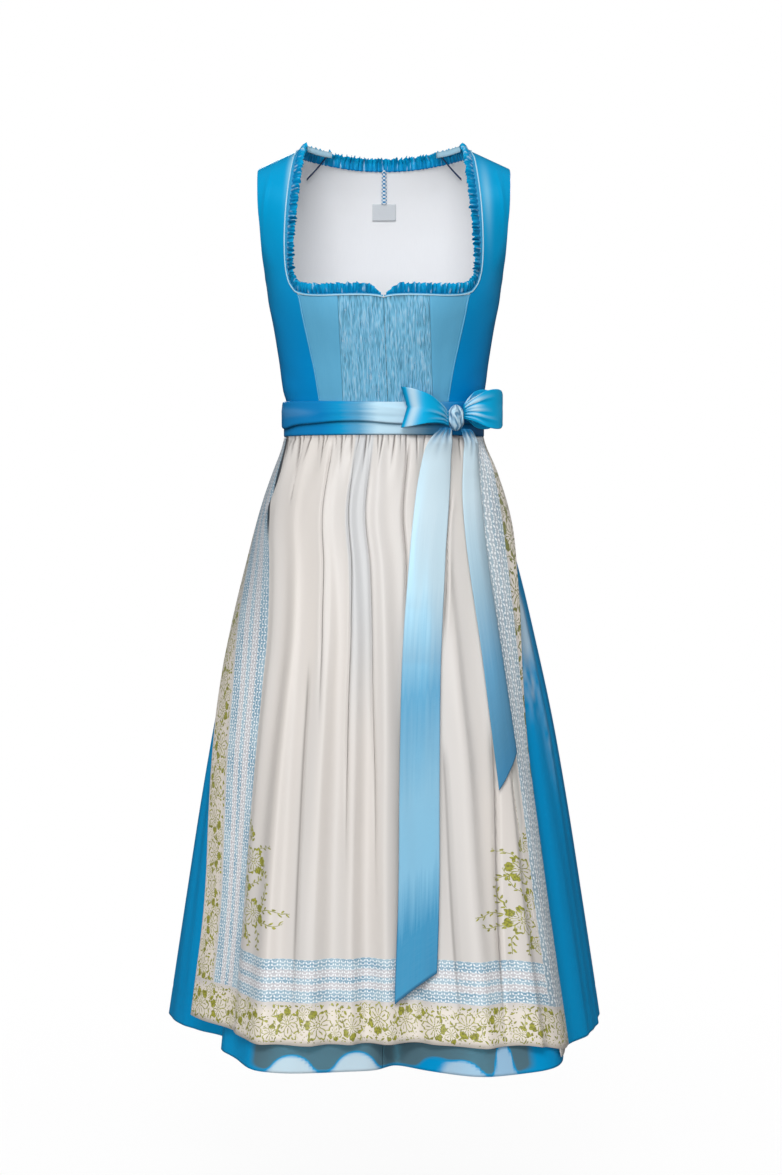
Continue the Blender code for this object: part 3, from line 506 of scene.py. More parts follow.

# %% [markdown]
# ## Ribbon satin
#
# The tie ribbon is a softer, paler satin than the skirt. Its light is painted over the ribbon's
# own length: a pale highlight, nearly ice blue, where it lies flat in the light, and painted shade
# under the knot and towards the ends. So it stays with the cloth from any side.

# %% Ribbons
def ribbon(name, tones, roughness=0.34, pale=0.25):
    """Ribbon satin whose tone changes along its length: stops of length and colour."""
    finish = Finish(name, roughness, **GLOSS)
    across, along = finish.cloth_xy()
    longest = tones[-1][0]
    streaks = finish.grain(across * 260.0, along * 7.0, 2.0, 0.6)
    threads = finish.grain(across * 60.0, along * 1800.0)
    stops = [(length / longest, colour) for length, colour in tones]
    place = along / longest + (streaks - 0.5) * 0.10
    colour = finish.node("ShaderNodeValToRGB", {"stops": stops}, {"Fac": place})
    colour = finish.blend((threads * 0.6 + streaks * 0.4) * pale, colour, linear(206, 226, 238))
    # Painted shade and painted highlights, set by the cloth's shade.
    finish.colour(finish.painted_shading(colour, (0.0005, 0.10, 0.24), linear(206, 230, 242), 0.8))
    finish.set("Roughness", roughness + (streaks - 0.5) * 0.16)
    finish.bump(threads + streaks * 1.5, THREAD_DEPTH, 0.5)
    return finish.material


ICE, SKY, MID = linear(192, 218, 232), linear(92, 154, 192), linear(40, 122, 168)
PALE_ICE, HAZE = linear(206, 226, 236), linear(142, 180, 204)
AZURE, DEEP = (0.0006, 0.38, 0.70), (0.0004, 0.21, 0.53)
NAVY_BLUE = linear(0, 84, 140)
# Painted light along each tail: shade under the knot, a pale highlight near the top, deeper below.
TAIL_TONES = [
    (0.0, DEEP), (0.010, MID), (0.028, PALE_ICE), (0.18, PALE_ICE), (0.30, linear(188, 212, 224)),
    (0.38, HAZE), (0.44, SKY),
    (0.56, linear(132, 176, 202)), (0.64, linear(128, 174, 202)), (0.70, MID), (0.74, MID),
]
SHORT_TONES = [
    (0.0, DEEP), (0.012, MID), (0.028, PALE_ICE), (0.15, PALE_ICE), (0.28, linear(158, 190, 208)),
    (0.38, SKY), (0.46, linear(64, 130, 168)), (0.50, MID),
]
RUFFLE_TONES = [(0.0, DEEP), (0.006, (0.0006, 0.27, 0.56)), (0.014, AZURE)]
TAIL_RIBBON = ribbon("long tie tail", TAIL_TONES, pale=0.12)
SHORT_RIBBON = ribbon("short tie tail", SHORT_TONES, pale=0.12)
BOW_RIBBON = ribbon("tie ribbon bow", [(0.0, AZURE), (0.04, AZURE), (0.08, AZURE)], 0.50, 0.002)
KNOT_RIBBON = ribbon("tie ribbon knot", [(0.0, MID), (0.03, ICE), (0.06, MID)], pale=0.10)
RUFFLE_RIBBON = ribbon("ruffle ribbon", RUFFLE_TONES, 0.42, 0.004)
print("ribbons:", TAIL_RIBBON.name, BOW_RIBBON.name)

# %% [markdown]
# ## Sewing a sheet on a chart
#
# `cloth` starts each piece as a flat grid. The grid first gives the cloth its own coordinates, in
# metres, and then every corner is placed on its chart. Solidify gives the wall, with the wrong side
# in a second material. A simulation could drape it, but here the worn form is given.

# %% The cloth maker
CUTS = {}

# Flat sizes, given in metres across and along.
SIDE_FRONT_CUT, PANEL_CUT, INSERT_CUT = (0.150, 0.400), (0.052, 0.162), (0.061, 0.162)
SIDE_BACK_CUT, CENTRE_BACK_CUT, LINING_CUT = (0.120, 0.230), (0.370, 0.380), (0.400, 0.380)
SKIRT_CUT, APRON_LENGTH, BAND_CUT = (0.52, 0.88), 0.83, (0.425, 0.0445)
WRAP_LENGTH, WRAP_WIDTH, LOOP_CUT, TAIL_WIDTH = 0.79, 0.034, (0.120, 0.045), 0.048
CORD_CUT_WIDTH, BINDING_CUT_WIDTH, SEAM_CORD_LENGTH = 0.0035, 0.006, 0.166

SHEET_LEAST = 0.010  # a strip narrower than this is trim, not a sheet
AREA_LEAST = 0.31


def sheet_mesh(columns, rows, place, flat):
    """A grid whose corners are placed, with its flat coordinates as a UV map.

    place gives a point, or a point and its painted shade.
    """
    bm = bmesh.new()
    bmesh.ops.create_grid(bm, x_segments=columns, y_segments=rows, size=0.5)
    layer = bm.loops.layers.uv.new("cloth")
    shade = bm.verts.layers.float.new("shade")
    for face in bm.faces:
        for loop in face.loops:
            loop[layer].uv = flat(loop.vert.co.x + 0.5, 0.5 - loop.vert.co.y)
    for vert in bm.verts:
        placed = place(vert.co.x + 0.5, 0.5 - vert.co.y)
        vert.co, vert[shade] = placed if isinstance(placed, tuple) else (placed, 0.0)
    return bm


def cut_of(bm):
    """The flat layout's width and length, and the finished surface's own area."""
    area = sum(face.calc_area() for face in bm.faces)
    u = [loop[bm.loops.layers.uv.active].uv.x for face in bm.faces for loop in face.loops]
    v = [loop[bm.loops.layers.uv.active].uv.y for face in bm.faces for loop in face.loops]
    return max(u) - min(u), max(v) - min(v), area


def finish_piece(name, bm, node, outside):
    mesh = bpy.data.meshes.new(name)
    bm.to_mesh(mesh)
    bm.free()
    mesh.shade_smooth()
    mesh.materials.append(outside)
    piece = bpy.data.objects.new(name, mesh)
    bpy.context.scene.collection.objects.link(piece)
    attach(piece, "root")
    if node:
        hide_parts(node)
    return piece


def cloth(name, columns, rows, place, size, outside, wall, node=None, inside=None,
          flat=None, ring=False, folded=1.0):
    """A sheet of cloth with a wall, standing for a node of the frame.

    The area it states is the finished surface's own, held within the flat rectangle, and a gathered
    piece's width is worked back from that area. So the area can't show whether a cut is right.
    """
    flat = flat or (lambda across, down: (across * size[0], (1 - down) * size[1]))
    bm = sheet_mesh(columns, rows, place, flat)
    if ring:
        bmesh.ops.remove_doubles(bm, verts=bm.verts, dist=SEAM / 3)
    width, length, area = cut_of(bm)
    length *= folded
    width = max(width, area / length)
    piece = finish_piece(name, bm, node, outside)
    piece.data.materials.append(inside or outside)
    thick = piece.modifiers.new("wall", "SOLIDIFY")
    thick.thickness = wall
    thick.offset = -1
    thick.material_offset = 1
    CUTS[name] = (round(width, 3), round(length, 3), round(area, 4))
    if min(width, length) >= SHEET_LEAST:
        share = clamp(area / (width * length), AREA_LEAST, 1.0)
    return piece


print("the cloth maker is ready")

# %% [markdown]
# ## The bodice's side fronts
#
# Each side front runs from the waist over the bust and up as the shoulder strap. A bodice fits
# closely, so it has only long, soft drags: one from the bust to the underarm, one by the armhole,
# and a few small ones above the waist. Its free edges are turned in, which rounds them.

# %% Side fronts
FRONT_SEAM = Table(
    "height x band",
    (-0.3780, 0.0855, 0.0022),
    (-0.3570, 0.0888, 0.0022),
    (-0.3160, 0.0953, 0.0022),
    (-0.2755, 0.1040, 0.0022),
    (-0.2420, 0.1112, 0.0022),
    (-0.2165, 0.1163, 0.0022),
    (-0.2090, 0.1208, 0.0022),
    (-0.1980, 0.1284, 0.0024),
    (-0.1850, 0.1325, 0.0032),
    (-0.1700, 0.1348, 0.0044),
    (-0.1490, 0.1357, 0.0055),
    (-0.1270, 0.1355, 0.0062),
    (-0.0970, 0.1340, 0.0066),
    (-0.0700, 0.1315, 0.0068),
    (-0.0450, 0.1285, 0.0062),
    (-0.0220, 0.1252, 0.0050),
    (-0.0036, 0.1215, 0.0036),
)

# Drags in the fitted cloth: where each starts and ends, its width and its height.
SIDE_FRONT_DRAGS = (
    # share across and down at the start, the same at the end, width, out
    (0.30, 0.62, 0.95, 0.50, 0.050, 0.0011),
    (0.45, 0.78, 0.98, 0.70, 0.030, 0.0008),
    (0.20, 0.93, 0.85, 0.88, 0.022, -0.0007),
    (0.55, 0.20, 0.80, 0.44, 0.060, 0.0009),
    (0.10, 0.98, 0.60, 0.96, 0.012, 0.0006),
)


# Painted highlights on each strap's satin: share across, its spread, share down, strength.
STRAP_HIGHLIGHTS = {-1: (0.03, 0.07, 0.20, 0.7), 1: (0.20, 0.12, 0.34, 0.5)}


def drags(rows, across, down):
    """The height of the drags at a place on a panel, with soft ends."""
    total = 0.0
    for x1, y1, x2, y2, width, out in rows:
        dx, dy = x2 - x1, y2 - y1
        t = clamp(((across - x1) * dx + (down - y1) * dy) / (dx * dx + dy * dy), -0.3, 1.3)
        away = math.hypot(across - x1 - t * dx, down - y1 - t * dy)
        total += out * bell(away, width) * ease(1 - abs(2 * t - 1) * 0.55)
    return total


def turned_edge(distance, depth=0.0012, reach=0.0030):
    """How far a turned edge falls away, by its distance from the edge in metres."""
    near = clamp(1 - distance / reach)
    return -depth * (1 - math.sqrt(1 - near * near))


def side_front(side, sign):
    def place(across, down):
        rise = TOP_RISE * (1 - down**1.7)
        x_edge = FRONT_SEAM.at("x", mix(WAIST, shoulder_line(0.12), rise))
        inner = degrees_of(x_edge + 0.0005, rise)
        outer = armhole_deg(rise) - SIDE_GAP_DEG
        share = across if sign > 0 else 1 - across
        width = math.radians(outer - inner) * half_width(rise)
        edge = turned_edge((1 - share) * width) if rise > 0.53 else 0.0
        out = drags(SIDE_FRONT_DRAGS, share, down) * ease((1 - rise) / 0.05)
        # Painted highlight beside each strap's piping, and painted shade low on the outer side.
        at, spread, middle, strength = STRAP_HIGHLIGHTS[sign]
        strap_highlight = strength * bell(share - at, spread) * bell(down - middle, 0.15)
        shade = 0.35 * ease((share - 0.55) / 0.45) * ease((down - 0.4) / 0.3) - strap_highlight
        return torso(sign * mix(inner, outer, share), min(rise, TOP_RISE), out=out + edge), shade

    name = f"side_front_{side}"
    return cloth(f"{name}_cloth", 60, 96, place, SIDE_FRONT_CUT, BODICE_SATIN, BODICE_WALL,
                 name, LINING)


def bodice_satin():
    """The skirt's satin, painted brighter up the straps, which face the light, and deep at the
    waist.
    """
    finish = Finish("blue bodice satin", 0.30, **GLOSS)
    threads, slubs = satin_threads(finish)
    where = finish.object_place()
    height = where.output(2)
    # Painted light: paler higher up, where the straps face the light.
    tone = finish.smooth(height, -0.36, -0.06) * 0.85 + (threads + slubs) * 0.18 - 0.10
    colour = finish.blend(tone, (0.0003, 0.250, 0.620), (0.0008, 0.355, 0.660))
    finish.colour(finish.painted_shading(colour, (0.0003, 0.10, 0.24), linear(176, 222, 236)))
    finish.set("Roughness", 0.30 + (threads - 0.5) * 0.10 + slubs * 0.05)
    finish.bump(threads * 0.8 + slubs * 0.6, THREAD_DEPTH, 0.5)
    return finish.material


BODICE_SATIN = bodice_satin()
for side, sign in SIDES:
    print("side front", side, CUTS[side_front(side, sign).name])

# %% [markdown]
# ## The light centre panels
#
# These two panels are flat and dull, so their shape is all in their outline: the curved seam on one
# side and the ruched insert on the other.

# %% Centre panels
INSERT_HALF, INSERT_LEAN = 0.0612, 0.0065

NECK_LOW = Table(
    "x height",
    (0.0000, -0.2208),
    (0.0060, -0.2191),
    (0.0160, -0.2179),
    (0.0320, -0.2173),
    (0.0570, -0.2176),
    (0.0790, -0.2176),
    (0.1000, -0.2160),
    (0.1120, -0.2132),
    (0.1208, -0.2090),
)


def neck_low(x):
    """The panels' top edge, just below the piping."""
    return NECK_LOW.at("height", abs(x)) - 2 * SEAM


def insert_lean(height):
    top = NECK_LOW.at("height", 0)
    return INSERT_LEAN * clamp((top - height) / (top - WAIST))


def front_panel(side, sign):
    def place(across, down):
        share = across if sign > 0 else 1 - across
        x_top = mix(INSERT_HALF, FRONT_SEAM.at("x", -0.2165) - 0.0028, share)
        height = mix(neck_low(x_top), WAIST + 1e-5, down)
        x_seam = FRONT_SEAM.at("x", height) - 0.0004
        x_insert = INSERT_HALF + 2 * SEAM + sign * insert_lean(height)
        ripple = 0.0004 * waver(share * 3, down * 7, sign * 5)
        out = ripple + turned_edge(share * 0.03, 0.0008, 0.0022)
        return torso_xz(sign * mix(x_insert, x_seam, share), height, out=out)

    name = f"front_panel_{side}"
    return cloth(f"{name}_cloth", 32, 80, place, PANEL_CUT, LIGHT_BLUE,
                 BODICE_WALL, name, LINING)


for side, sign in SIDES:
    print("centre panel", side, CUTS[front_panel(side, sign).name])

# %% [markdown]
# ## The ruched insert
#
# The insert is a wider piece drawn up on many rows of thread, so it stands in fine upright crinkles
# two or three millimetres apart that start, split and fade. Each crinkle is a ripple whose phase
# wanders with height. It is real relief here, since it shows from a step away.

# %% Ruched insert
CRINKLE_HEIGHT, UNDER = 0.0016, 0.0010


def crinkle(x, height, seed):
    """Height and painted shade of the crinkles: upright ripples of two sizes that wander and split.
    """
    x += 0.0014 * waver(x * 90, height * 75, seed + 9)
    ripple = waver(x * 520, height * 34, seed)
    fine = waver(x * 1100, height * 110, seed + 6)
    coarse = waver(x * 130, height * 20, seed + 2)
    total = 0.8 * ripple + 0.8 * fine
    return CRINKLE_HEIGHT * total + 0.0010 * coarse, clamp(-1.25 * total - 0.3 * coarse, -0.5, 0.7)


def ruched_insert(side, sign):
    def place(across, down):
        share = across if sign > 0 else 1 - across
        x = mix(SEAM / 2, INSERT_HALF + UNDER, share)
        height = mix(neck_low(x), WAIST + 1e-5, down)
        calm = ease(share * INSERT_HALF / 0.0010) * ease((1 - share) * INSERT_HALF / 0.0016)
        out, shade = crinkle(x, height, 3.0 * sign)
        out *= mix(0.15, 1.0, calm) * mix(0.3, 1, ease(down / 0.03))
        out -= 0.0005 * (1 - ease((1 - share) * INSERT_HALF / 0.0030))
        # Painted shade along both seams and just under the neckline.
        seam_shade = 1.0 * (1 - calm) + 0.6 * bell(down, 0.02)
        shade = clamp(shade * calm + seam_shade, -1)
        return torso_xz(sign * x + insert_lean(height), height, out=out), shade

    name = f"ruched_insert_{side}"
    return cloth(f"{name}_cloth", 170, 110, place, INSERT_CUT, RUCHED,
                 BODICE_WALL, name, LINING)


for side, sign in SIDES:
    print("ruched insert", side, CUTS[ruched_insert(side, sign).name])

# %% [markdown]
# ## The back and its lining
#
# The back is three panels: a centre back that carries the straps, and a side back under each arm.
# The pale lining behind the neckline is the largest plain area in view from the front.

# %% Back panels and lining
BACK_NECK = Table(
    "x height",
    (0.000, -0.0132),
    (0.030, -0.0128),
    (0.054, -0.0112),
    (0.076, -0.0088),
    (0.094, -0.0068),
    (0.108, -0.0052),
    (0.1215, -0.0047),
)

BACK_SEAM_TOP = 0.72
BACK_SEAM = Table(
    "rise x",
    (0.00, 0.0620),
    (0.20, 0.0680),
    (0.40, 0.0840),
    (0.55, 0.1080),
    (0.66, 0.1380),
    (0.74, 0.1760),
)

PIPING_WIDTH, PIPING_PROUD = 0.0022, 0.0011
YOKE_SHARE = 5 / 13  # the share of the back's rows above the curved seam's top


def back_neck_rise(x):
    return min(rise_of(x, BACK_NECK.at("height", abs(x))), 0.9999)


def back_edge_deg(rise):
    """The centre back's outer edge: the curved back seam, then the armhole."""
    if rise > BACK_SEAM_TOP:
        return armhole_deg(rise)
    return min(degrees_of(BACK_SEAM.at("x", rise), rise), armhole_deg(rise))


def back_place(edge_deg, inset, relief):
    """Places a back piece as wide as edge_deg on each side, under the neckline and straps."""
    strap_x = FRONT_SEAM.at("x", 0) + 1.9 * PIPING_WIDTH
    strap = degrees_of(strap_x, 1.0) / armhole_deg(1.0)
    corner = 5 / 8

    def place(across, down):
        side = mix(1, -1, across)
        if abs(side) < corner:
            side *= strap / corner
        else:
            side = math.copysign(mix(strap, 1, (abs(side) - corner) / (1 - corner)), side)
        x_top = half_width(1.0) * math.sin(math.radians(side * armhole_deg(1.0)))
        top = min(back_neck_rise(x_top) - 0.0025, TOP_RISE)
        top = TOP_RISE if abs(side) > strap - 1e-6 else top
        if down < YOKE_SHARE:
            rise = mix(top, BACK_SEAM_TOP, (down / YOKE_SHARE) ** 2.2)
        else:
            rise = mix(BACK_SEAM_TOP, 0, (down - YOKE_SHARE) / (1 - YOKE_SHARE))
        degrees = side * (edge_deg(rise) - SIDE_GAP_DEG)
        soft = relief * waver(side * 2.2, rise * 3.0, 7.0) * ease((1 - rise) / 0.1)
        # Painted light on the lining: paler at the top, darker towards the bottom.
        shade = mix(-1.0, 0.34, ease(down * 1.2)) * (inset < 0)
        return torso(degrees, rise, back=True, out=inset + soft), shade

    return place


def side_back(side, sign):
    def place(across, down):
        rise = mix(BACK_SEAM_TOP, 0, down)
        inner = back_edge_deg(rise) + SIDE_GAP_DEG
        outer = max(armhole_deg(rise) - SIDE_GAP_DEG, inner + 0.35)
        share = 1 - across if sign > 0 else across
        out = 0.0010 * waver(share * 2, rise * 5, sign * 2) * ease(share / 0.1)
        out *= ease((1 - share) / 0.1)
        return torso(sign * mix(inner, outer, share), rise, back=True, out=out)

    name = f"side_back_{side}"
    return cloth(f"{name}_cloth", 40, 60, place, SIDE_BACK_CUT, BODICE_SATIN, BODICE_WALL,
                 name, LINING)


for side, sign in SIDES:
    print("side back", side, CUTS[side_back(side, sign).name])
CENTRE_BACK = cloth("centre_back_cloth", 92, 100, back_place(back_edge_deg, 0.0, 0.0012),
                    CENTRE_BACK_CUT, BODICE_SATIN, BODICE_WALL, "centre_back", LINING)
BACK_LINING = cloth("back_lining_cloth", 80, 88,
                    back_place(armhole_deg, -(BODICE_WALL + LINING_GAP), 0.0009),
                    LINING_CUT, LINING, LINING_WALL, "back_lining")
print("centre back", CUTS[CENTRE_BACK.name], "lining", CUTS[BACK_LINING.name])

# %% [markdown]
# ## Walking along the neckline
#
# Binding, piping and ruffle all follow the neckline. `neck_frames` gives its place, direction,
# outward normal and the way into the opening, and `walk` spaces these evenly, as one feeds ribbon
# under a presser foot.

# %% The neckline's path
def front_neckline():
    """Points of half the neckline, as x and height, from the front notch to the shoulder."""
    xs = (0.0012, 0.004, 0.009, 0.018, 0.028, 0.038, 0.048, 0.058, 0.068, 0.078, 0.088)
    points = [(x, NECK_LOW.at("height", x)) for x in (*xs, 0.098, 0.107, 0.115)]
    heights = (-0.2090, -0.2035, -0.1975, -0.191, -0.183, -0.174, -0.164, -0.153, -0.141, -0.129)
    heights += (-0.116, -0.103, -0.090, -0.077, -0.064, -0.051, -0.038, -0.028, -0.020)
    return points + [(FRONT_SEAM.at("x", z), z) for z in heights]


def neck_frames(back, sign):
    """Along one side's neckline: its place, its direction, outwards, and into the opening."""
    end = FRONT_SEAM.at("x", 0)
    if back:
        pairs = [(k * 0.0105, back_neck_rise(k * 0.0105)) for k in range(11)]
        pairs += [(end - 0.0022, 0.9965), (end, 0.9988), (end, 0.99999)]
    else:
        pairs = [(x, rise_of(x, z)) for x, z in front_neckline()]
        pairs += [(end, 0.9850), (end, 0.9950), (end, 0.9988), (end, 0.99999)]
    places, normals, bands = [], [], []
    for x, rise in pairs:
        degrees = degrees_of(sign * x, rise)
        places.append(torso(degrees, rise, back))
        normals.append(torso(degrees, rise, back, 1.0) - places[-1])
        height = mix(WAIST, shoulder_line(x), rise)
        bands.append(PIPING_WIDTH if back else FRONT_SEAM.at("band", height))
    frames = []
    for i, (place, normal) in enumerate(zip(places, normals)):
        along = places[min(i + 1, len(places) - 1)] - places[max(i - 1, 0)]
        along.normalize()
        inward = normal.cross(along) if (sign > 0) != back else along.cross(normal)
        frames.append((place, along, normal, inward.normalized(), bands[i]))
    return frames


def both_backs():
    """The back neckline's frames from the wearer's right shoulder to the left."""
    right, left = neck_frames(True, -1), neck_frames(True, 1)
    turned = [(p, -a, n, w, b) for p, a, n, w, b in reversed(right[1:])]
    return turned + left


def walk(frames, step):
    """The same frames at even steps along the path, with the distance from its start."""
    lengths = [0.0]
    for a, b in zip(frames, frames[1:]):
        lengths.append(lengths[-1] + (b[0] - a[0]).length)
    count = max(2, round(lengths[-1] / step))
    walked = []
    for k in range(count + 1):
        at = lengths[-1] * k / count
        i = min(bisect_right(lengths, at + 1e-9) - 1, len(lengths) - 2)
        t = (at - lengths[i]) / (lengths[i + 1] - lengths[i])
        walked.append((at, [mix(p, q, t) for p, q in zip(frames[i], frames[i + 1])]))
    return walked


def strip(name, steps, rows, place, width, outside, wall, node, facing_out):
    """A strip of cloth along a walked path, place(step, down) giving its points."""
    length = steps[-1][0]

    def at(across, down):
        k = round(across * (len(steps) - 1))
        return place(steps[k if facing_out else len(steps) - 1 - k], down)

    def flat(across, down):
        return across * length, (1 - down) * width

    return cloth(name, len(steps) - 1, rows, at, (length, width), outside, wall, node,
                 flat=flat)


print("the front neckline has", len(neck_frames(False, 1)), "frames on each side")

# %% [markdown]
# ## Binding and piping
#
# The neckline is bound with light blue, widest beside the straps, and a pale cord is piped along
# its outer edge and down the curved front seams. A cord is a strip bent over a half circle, which
# costs far fewer faces than a bevelled curve and joins the binding without a gap.

# %% Binding and piping
CORD_RADIUS, CORD_WALL, NECK_STEP, NECK_ROWS = 0.0011, 0.0004, 0.0020, 8


def neck_binding(name, frames, facing_out, outside):
    def place(step, down):
        point, _, normal, inward, band = step[1]
        swell = math.sin(math.pi * down) ** 0.6 * 0.0006
        return point + inward * (band * (1 - down)) + normal * (PIPING_PROUD - 0.0006 + swell)

    return strip(f"{name}_cloth", walk(frames, NECK_STEP), NECK_ROWS, place, BINDING_CUT_WIDTH,
                 outside, PIPING_PROUD + BODICE_WALL, name, facing_out)


def neck_cord(name, frames, facing_out):
    def place(step, down):
        point, _, normal, inward, _ = step[1]
        centre = point - inward * 0.0002 + normal * (PIPING_PROUD - 0.0005)
        side, top = math.cos(math.pi * down) * CORD_RADIUS, math.sin(math.pi * down) * CORD_RADIUS
        return centre + inward * side + normal * top

    return strip(name, walk(frames, NECK_STEP), NECK_ROWS, place, CORD_CUT_WIDTH, PIPING,
                 CORD_WALL, None, facing_out)


def seam_cord(side, sign):
    lowest, highest = WAIST + 0.0005, -0.2142

    def place(across, down):
        height = mix(highest, lowest, down)
        angle = math.pi * across
        x = FRONT_SEAM.at("x", height) - sign * math.cos(angle) * CORD_RADIUS * 0.8 - 0.0004
        out = 0.0002 + math.sin(angle) * CORD_RADIUS
        return torso_xz(sign * x, height, out=out)

    name = f"seam_piping_{side}"
    return cloth(f"{name}_cloth", 8, 90, place, (CORD_CUT_WIDTH, SEAM_CORD_LENGTH), SEAM_CORD,
                 CORD_WALL, name)


for side, sign in SIDES:
    frames = neck_frames(False, sign)
    neck_binding(f"neck_piping_{side}", frames, sign > 0, BINDING)
    neck_cord(f"neck_cord_{side}", frames, sign > 0)
    print("seam piping", side, CUTS[seam_cord(side, sign).name])
neck_binding("back_neck_piping", both_backs(), False, RUFFLE_RIBBON)

# %% [markdown]
# ## The gathered ruffle
#
# A satin ribbon is gathered on a thread and sewn inside the neckline, so it stands up in small,
# uneven puckers. Regular sines look stamped, so the phase and depth of the waves wander along the
# ribbon.

# %% Ruffles
RUFFLE_WIDTH, BACK_RUFFLE_WIDTH = 0.0150, 0.0135
RUFFLE_PITCH, RUFFLE_SWING, RUFFLE_LEAN_DEG, RUFFLE_TAPER = 0.0072, 0.0032, 14.0, 0.018


def ruffle(name, frames, width, runs_out, facing_out, seed, inset=0.0):
    """A gathered ribbon along a path. Inset brings its foot in over the lining's top edge."""
    steps = walk(frames, 0.00075)
    total = steps[-1][0]

    def place(step, down):
        at, (point, along, normal, inward, band) = step
        to_end = total - at if runs_out else min(at, total - at)
        size = mix(0.55, 1.0, ease(to_end / 0.016))
        size *= mix(0.25, 1.0, ease(at / RUFFLE_TAPER)) if runs_out else 1.0
        lean = math.radians(RUFFLE_LEAN_DEG) * ease(to_end / 0.025)
        up = 1 - down
        wander = waver(at * 80, seed, 0) * 3.4
        phase = 2 * math.pi * at / RUFFLE_PITCH + wander + up * waver(at * 60, seed, 5)
        depth = 0.70 + 0.8 * waver(at * 75, seed, 2)
        wave = math.sin(phase) + 0.55 * math.sin(2.3 * phase + seed) * (0.4 + up)
        pucker = waver(at * 420, up * 5, seed + 3)
        swing = RUFFLE_SWING * mix(0.30, 1.0, ease(up * 1.3)) * depth * wave + 0.0008 * pucker * up
        top = 1 + 0.20 * waver(at * 170, seed, 7) - 0.10 * abs(math.sin(phase / 2))
        rise = up * width * size * top + band * 0.8 - inset * 0.9
        belly = math.sin(math.pi * up) * 0.0010 - inset * (1 - ease(up * 1.6)) - 0.0004
        sway = along * (0.0009 * math.cos(phase) * up)
        direction = inward * math.cos(lean) + normal * math.sin(lean)
        # Painted shade in the troughs, painted highlights in spots on the crests.
        crest_highlight = ease(waver(at * 110, up * 1.6, seed + 8) * 2.4 - 0.1)
        shade = -0.85 * wave * depth + 0.35 * pucker
        shade = clamp(shade) if shade > 0 else clamp(shade * crest_highlight * 1.3, -1)
        return point + direction * rise + normal * (swing * size + belly) + sway, shade

    return strip(f"{name}_ribbon", steps, 9, place, width, RUFFLE_RIBBON, RUFFLE_WALL,
                 name, facing_out)


for side, sign in SIDES:
    made = ruffle(f"front_ruffle_{side}", neck_frames(False, sign)[1:], RUFFLE_WIDTH, True,
                  sign > 0, 3.0 + sign)
    print("front ruffle", side, CUTS[made.name])
made = ruffle("back_ruffle", both_backs(), BACK_RUFFLE_WIDTH + 0.005, False, False, 11.0, 0.0052)
print("back ruffle", CUTS[made.name])

# %% [markdown]
# ## Braid, label and strap ribbons on the lining
#
# Inside the back neck hangs a plaited braid loop, with a plain woven label below it. At each
# shoulder a narrow navy ribbon crosses the corner. The braid is four cords that weave over each
# other.

# %% Details on the lining
LINING_FACE = -(BODICE_WALL + LINING_GAP + LINING_WALL)
BRAID_TOP, BRAID_BOTTOM, BRAID_HALF = -0.0130, -0.0600, 0.0031
BRAID_TURNS, BRAID_CORD, BRAID_SIDES, BRAID_STEPS = 4.5, 0.00118, 5, 80
BRAID_OFF, BRAID_SWING = 0.0036, 0.0010
LABEL_HALF, LABEL_TOP, LABEL_BOTTOM = 0.0175, -0.0606, -0.0850
LABEL_OFF, LABEL_WALL = 0.0019, 0.0008
TAPE_WIDTH, STRAP_RIBBON_WIDTH, TAPE_WALL = 0.0085, 0.0034, 0.0005


def on_lining(x, height, off):
    """A point on the lining's inner face, off it by a distance towards the wearer."""
    return torso_xz(x, height, back=True, out=LINING_FACE - off)


def tube(bm, route, radius, sides):
    """Adds a round thread along a list of points."""
    rings = []
    for i, point in enumerate(route):
        along = (route[min(i + 1, len(route) - 1)] - route[max(i - 1, 0)]).normalized()
        turn = along.to_track_quat("Z", "X").to_matrix().to_4x4()
        turn.translation = point
        ring = bmesh.ops.create_circle(bm, segments=sides, radius=radius, matrix=turn)
        rings.append(ring["verts"])
    for low, high in zip(rings, rings[1:]):
        edges = [e for e in bm.edges if set(e.verts) <= set(low) or set(e.verts) <= set(high)]
        bmesh.ops.bridge_loops(bm, edges=edges)
    for ring in (rings[0], rings[-1]):
        bmesh.ops.contextual_create(bm, geom=ring)


def braid():
    """Four cords, two white and two blue, that cross from side to side over and under."""
    bm = bmesh.new()
    for strand in range(4):
        first = len(bm.faces)
        route = []
        for k in range(BRAID_STEPS + 1):
            t = k / BRAID_STEPS
            angle = 2 * math.pi * BRAID_TURNS * t + math.pi * strand / 2
            off = BRAID_OFF + BRAID_SWING * math.cos(2 * angle)
            x = math.sin(angle) * BRAID_HALF
            route.append(on_lining(x, mix(BRAID_TOP, BRAID_BOTTOM, t), off))
        tube(bm, route, BRAID_CORD, BRAID_SIDES)
        bm.faces.ensure_lookup_table()
        for face in bm.faces[first:]:
            face.material_index = strand % 2
    bmesh.ops.recalc_face_normals(bm, faces=bm.faces)
    piece = finish_piece("hanging_braid_plait", bm, "hanging_braid", CORD_WHITE)
    piece.data.materials.append(CORD_BLUE)
    return piece


def tape(name, start, end, width, outside):
    """A narrow ribbon between two points, its face towards the front, sagging a little."""
    def place(across, down):
        sag = 0.0012 * math.sin(math.pi * across)
        curl = 0.0012 * math.sin(math.pi * down)
        point = start.lerp(end, across) + Vector((0, -curl, width * (0.5 - down) - sag))
        # Painted shade along both long edges and at the first end.
        return point, 0.5 * (1 - math.sin(math.pi * down)) + 0.6 * bell(across, 0.1)

    size = ((end - start).length, width)
    return cloth(name, 24, 8, place, size, outside, TAPE_WALL)


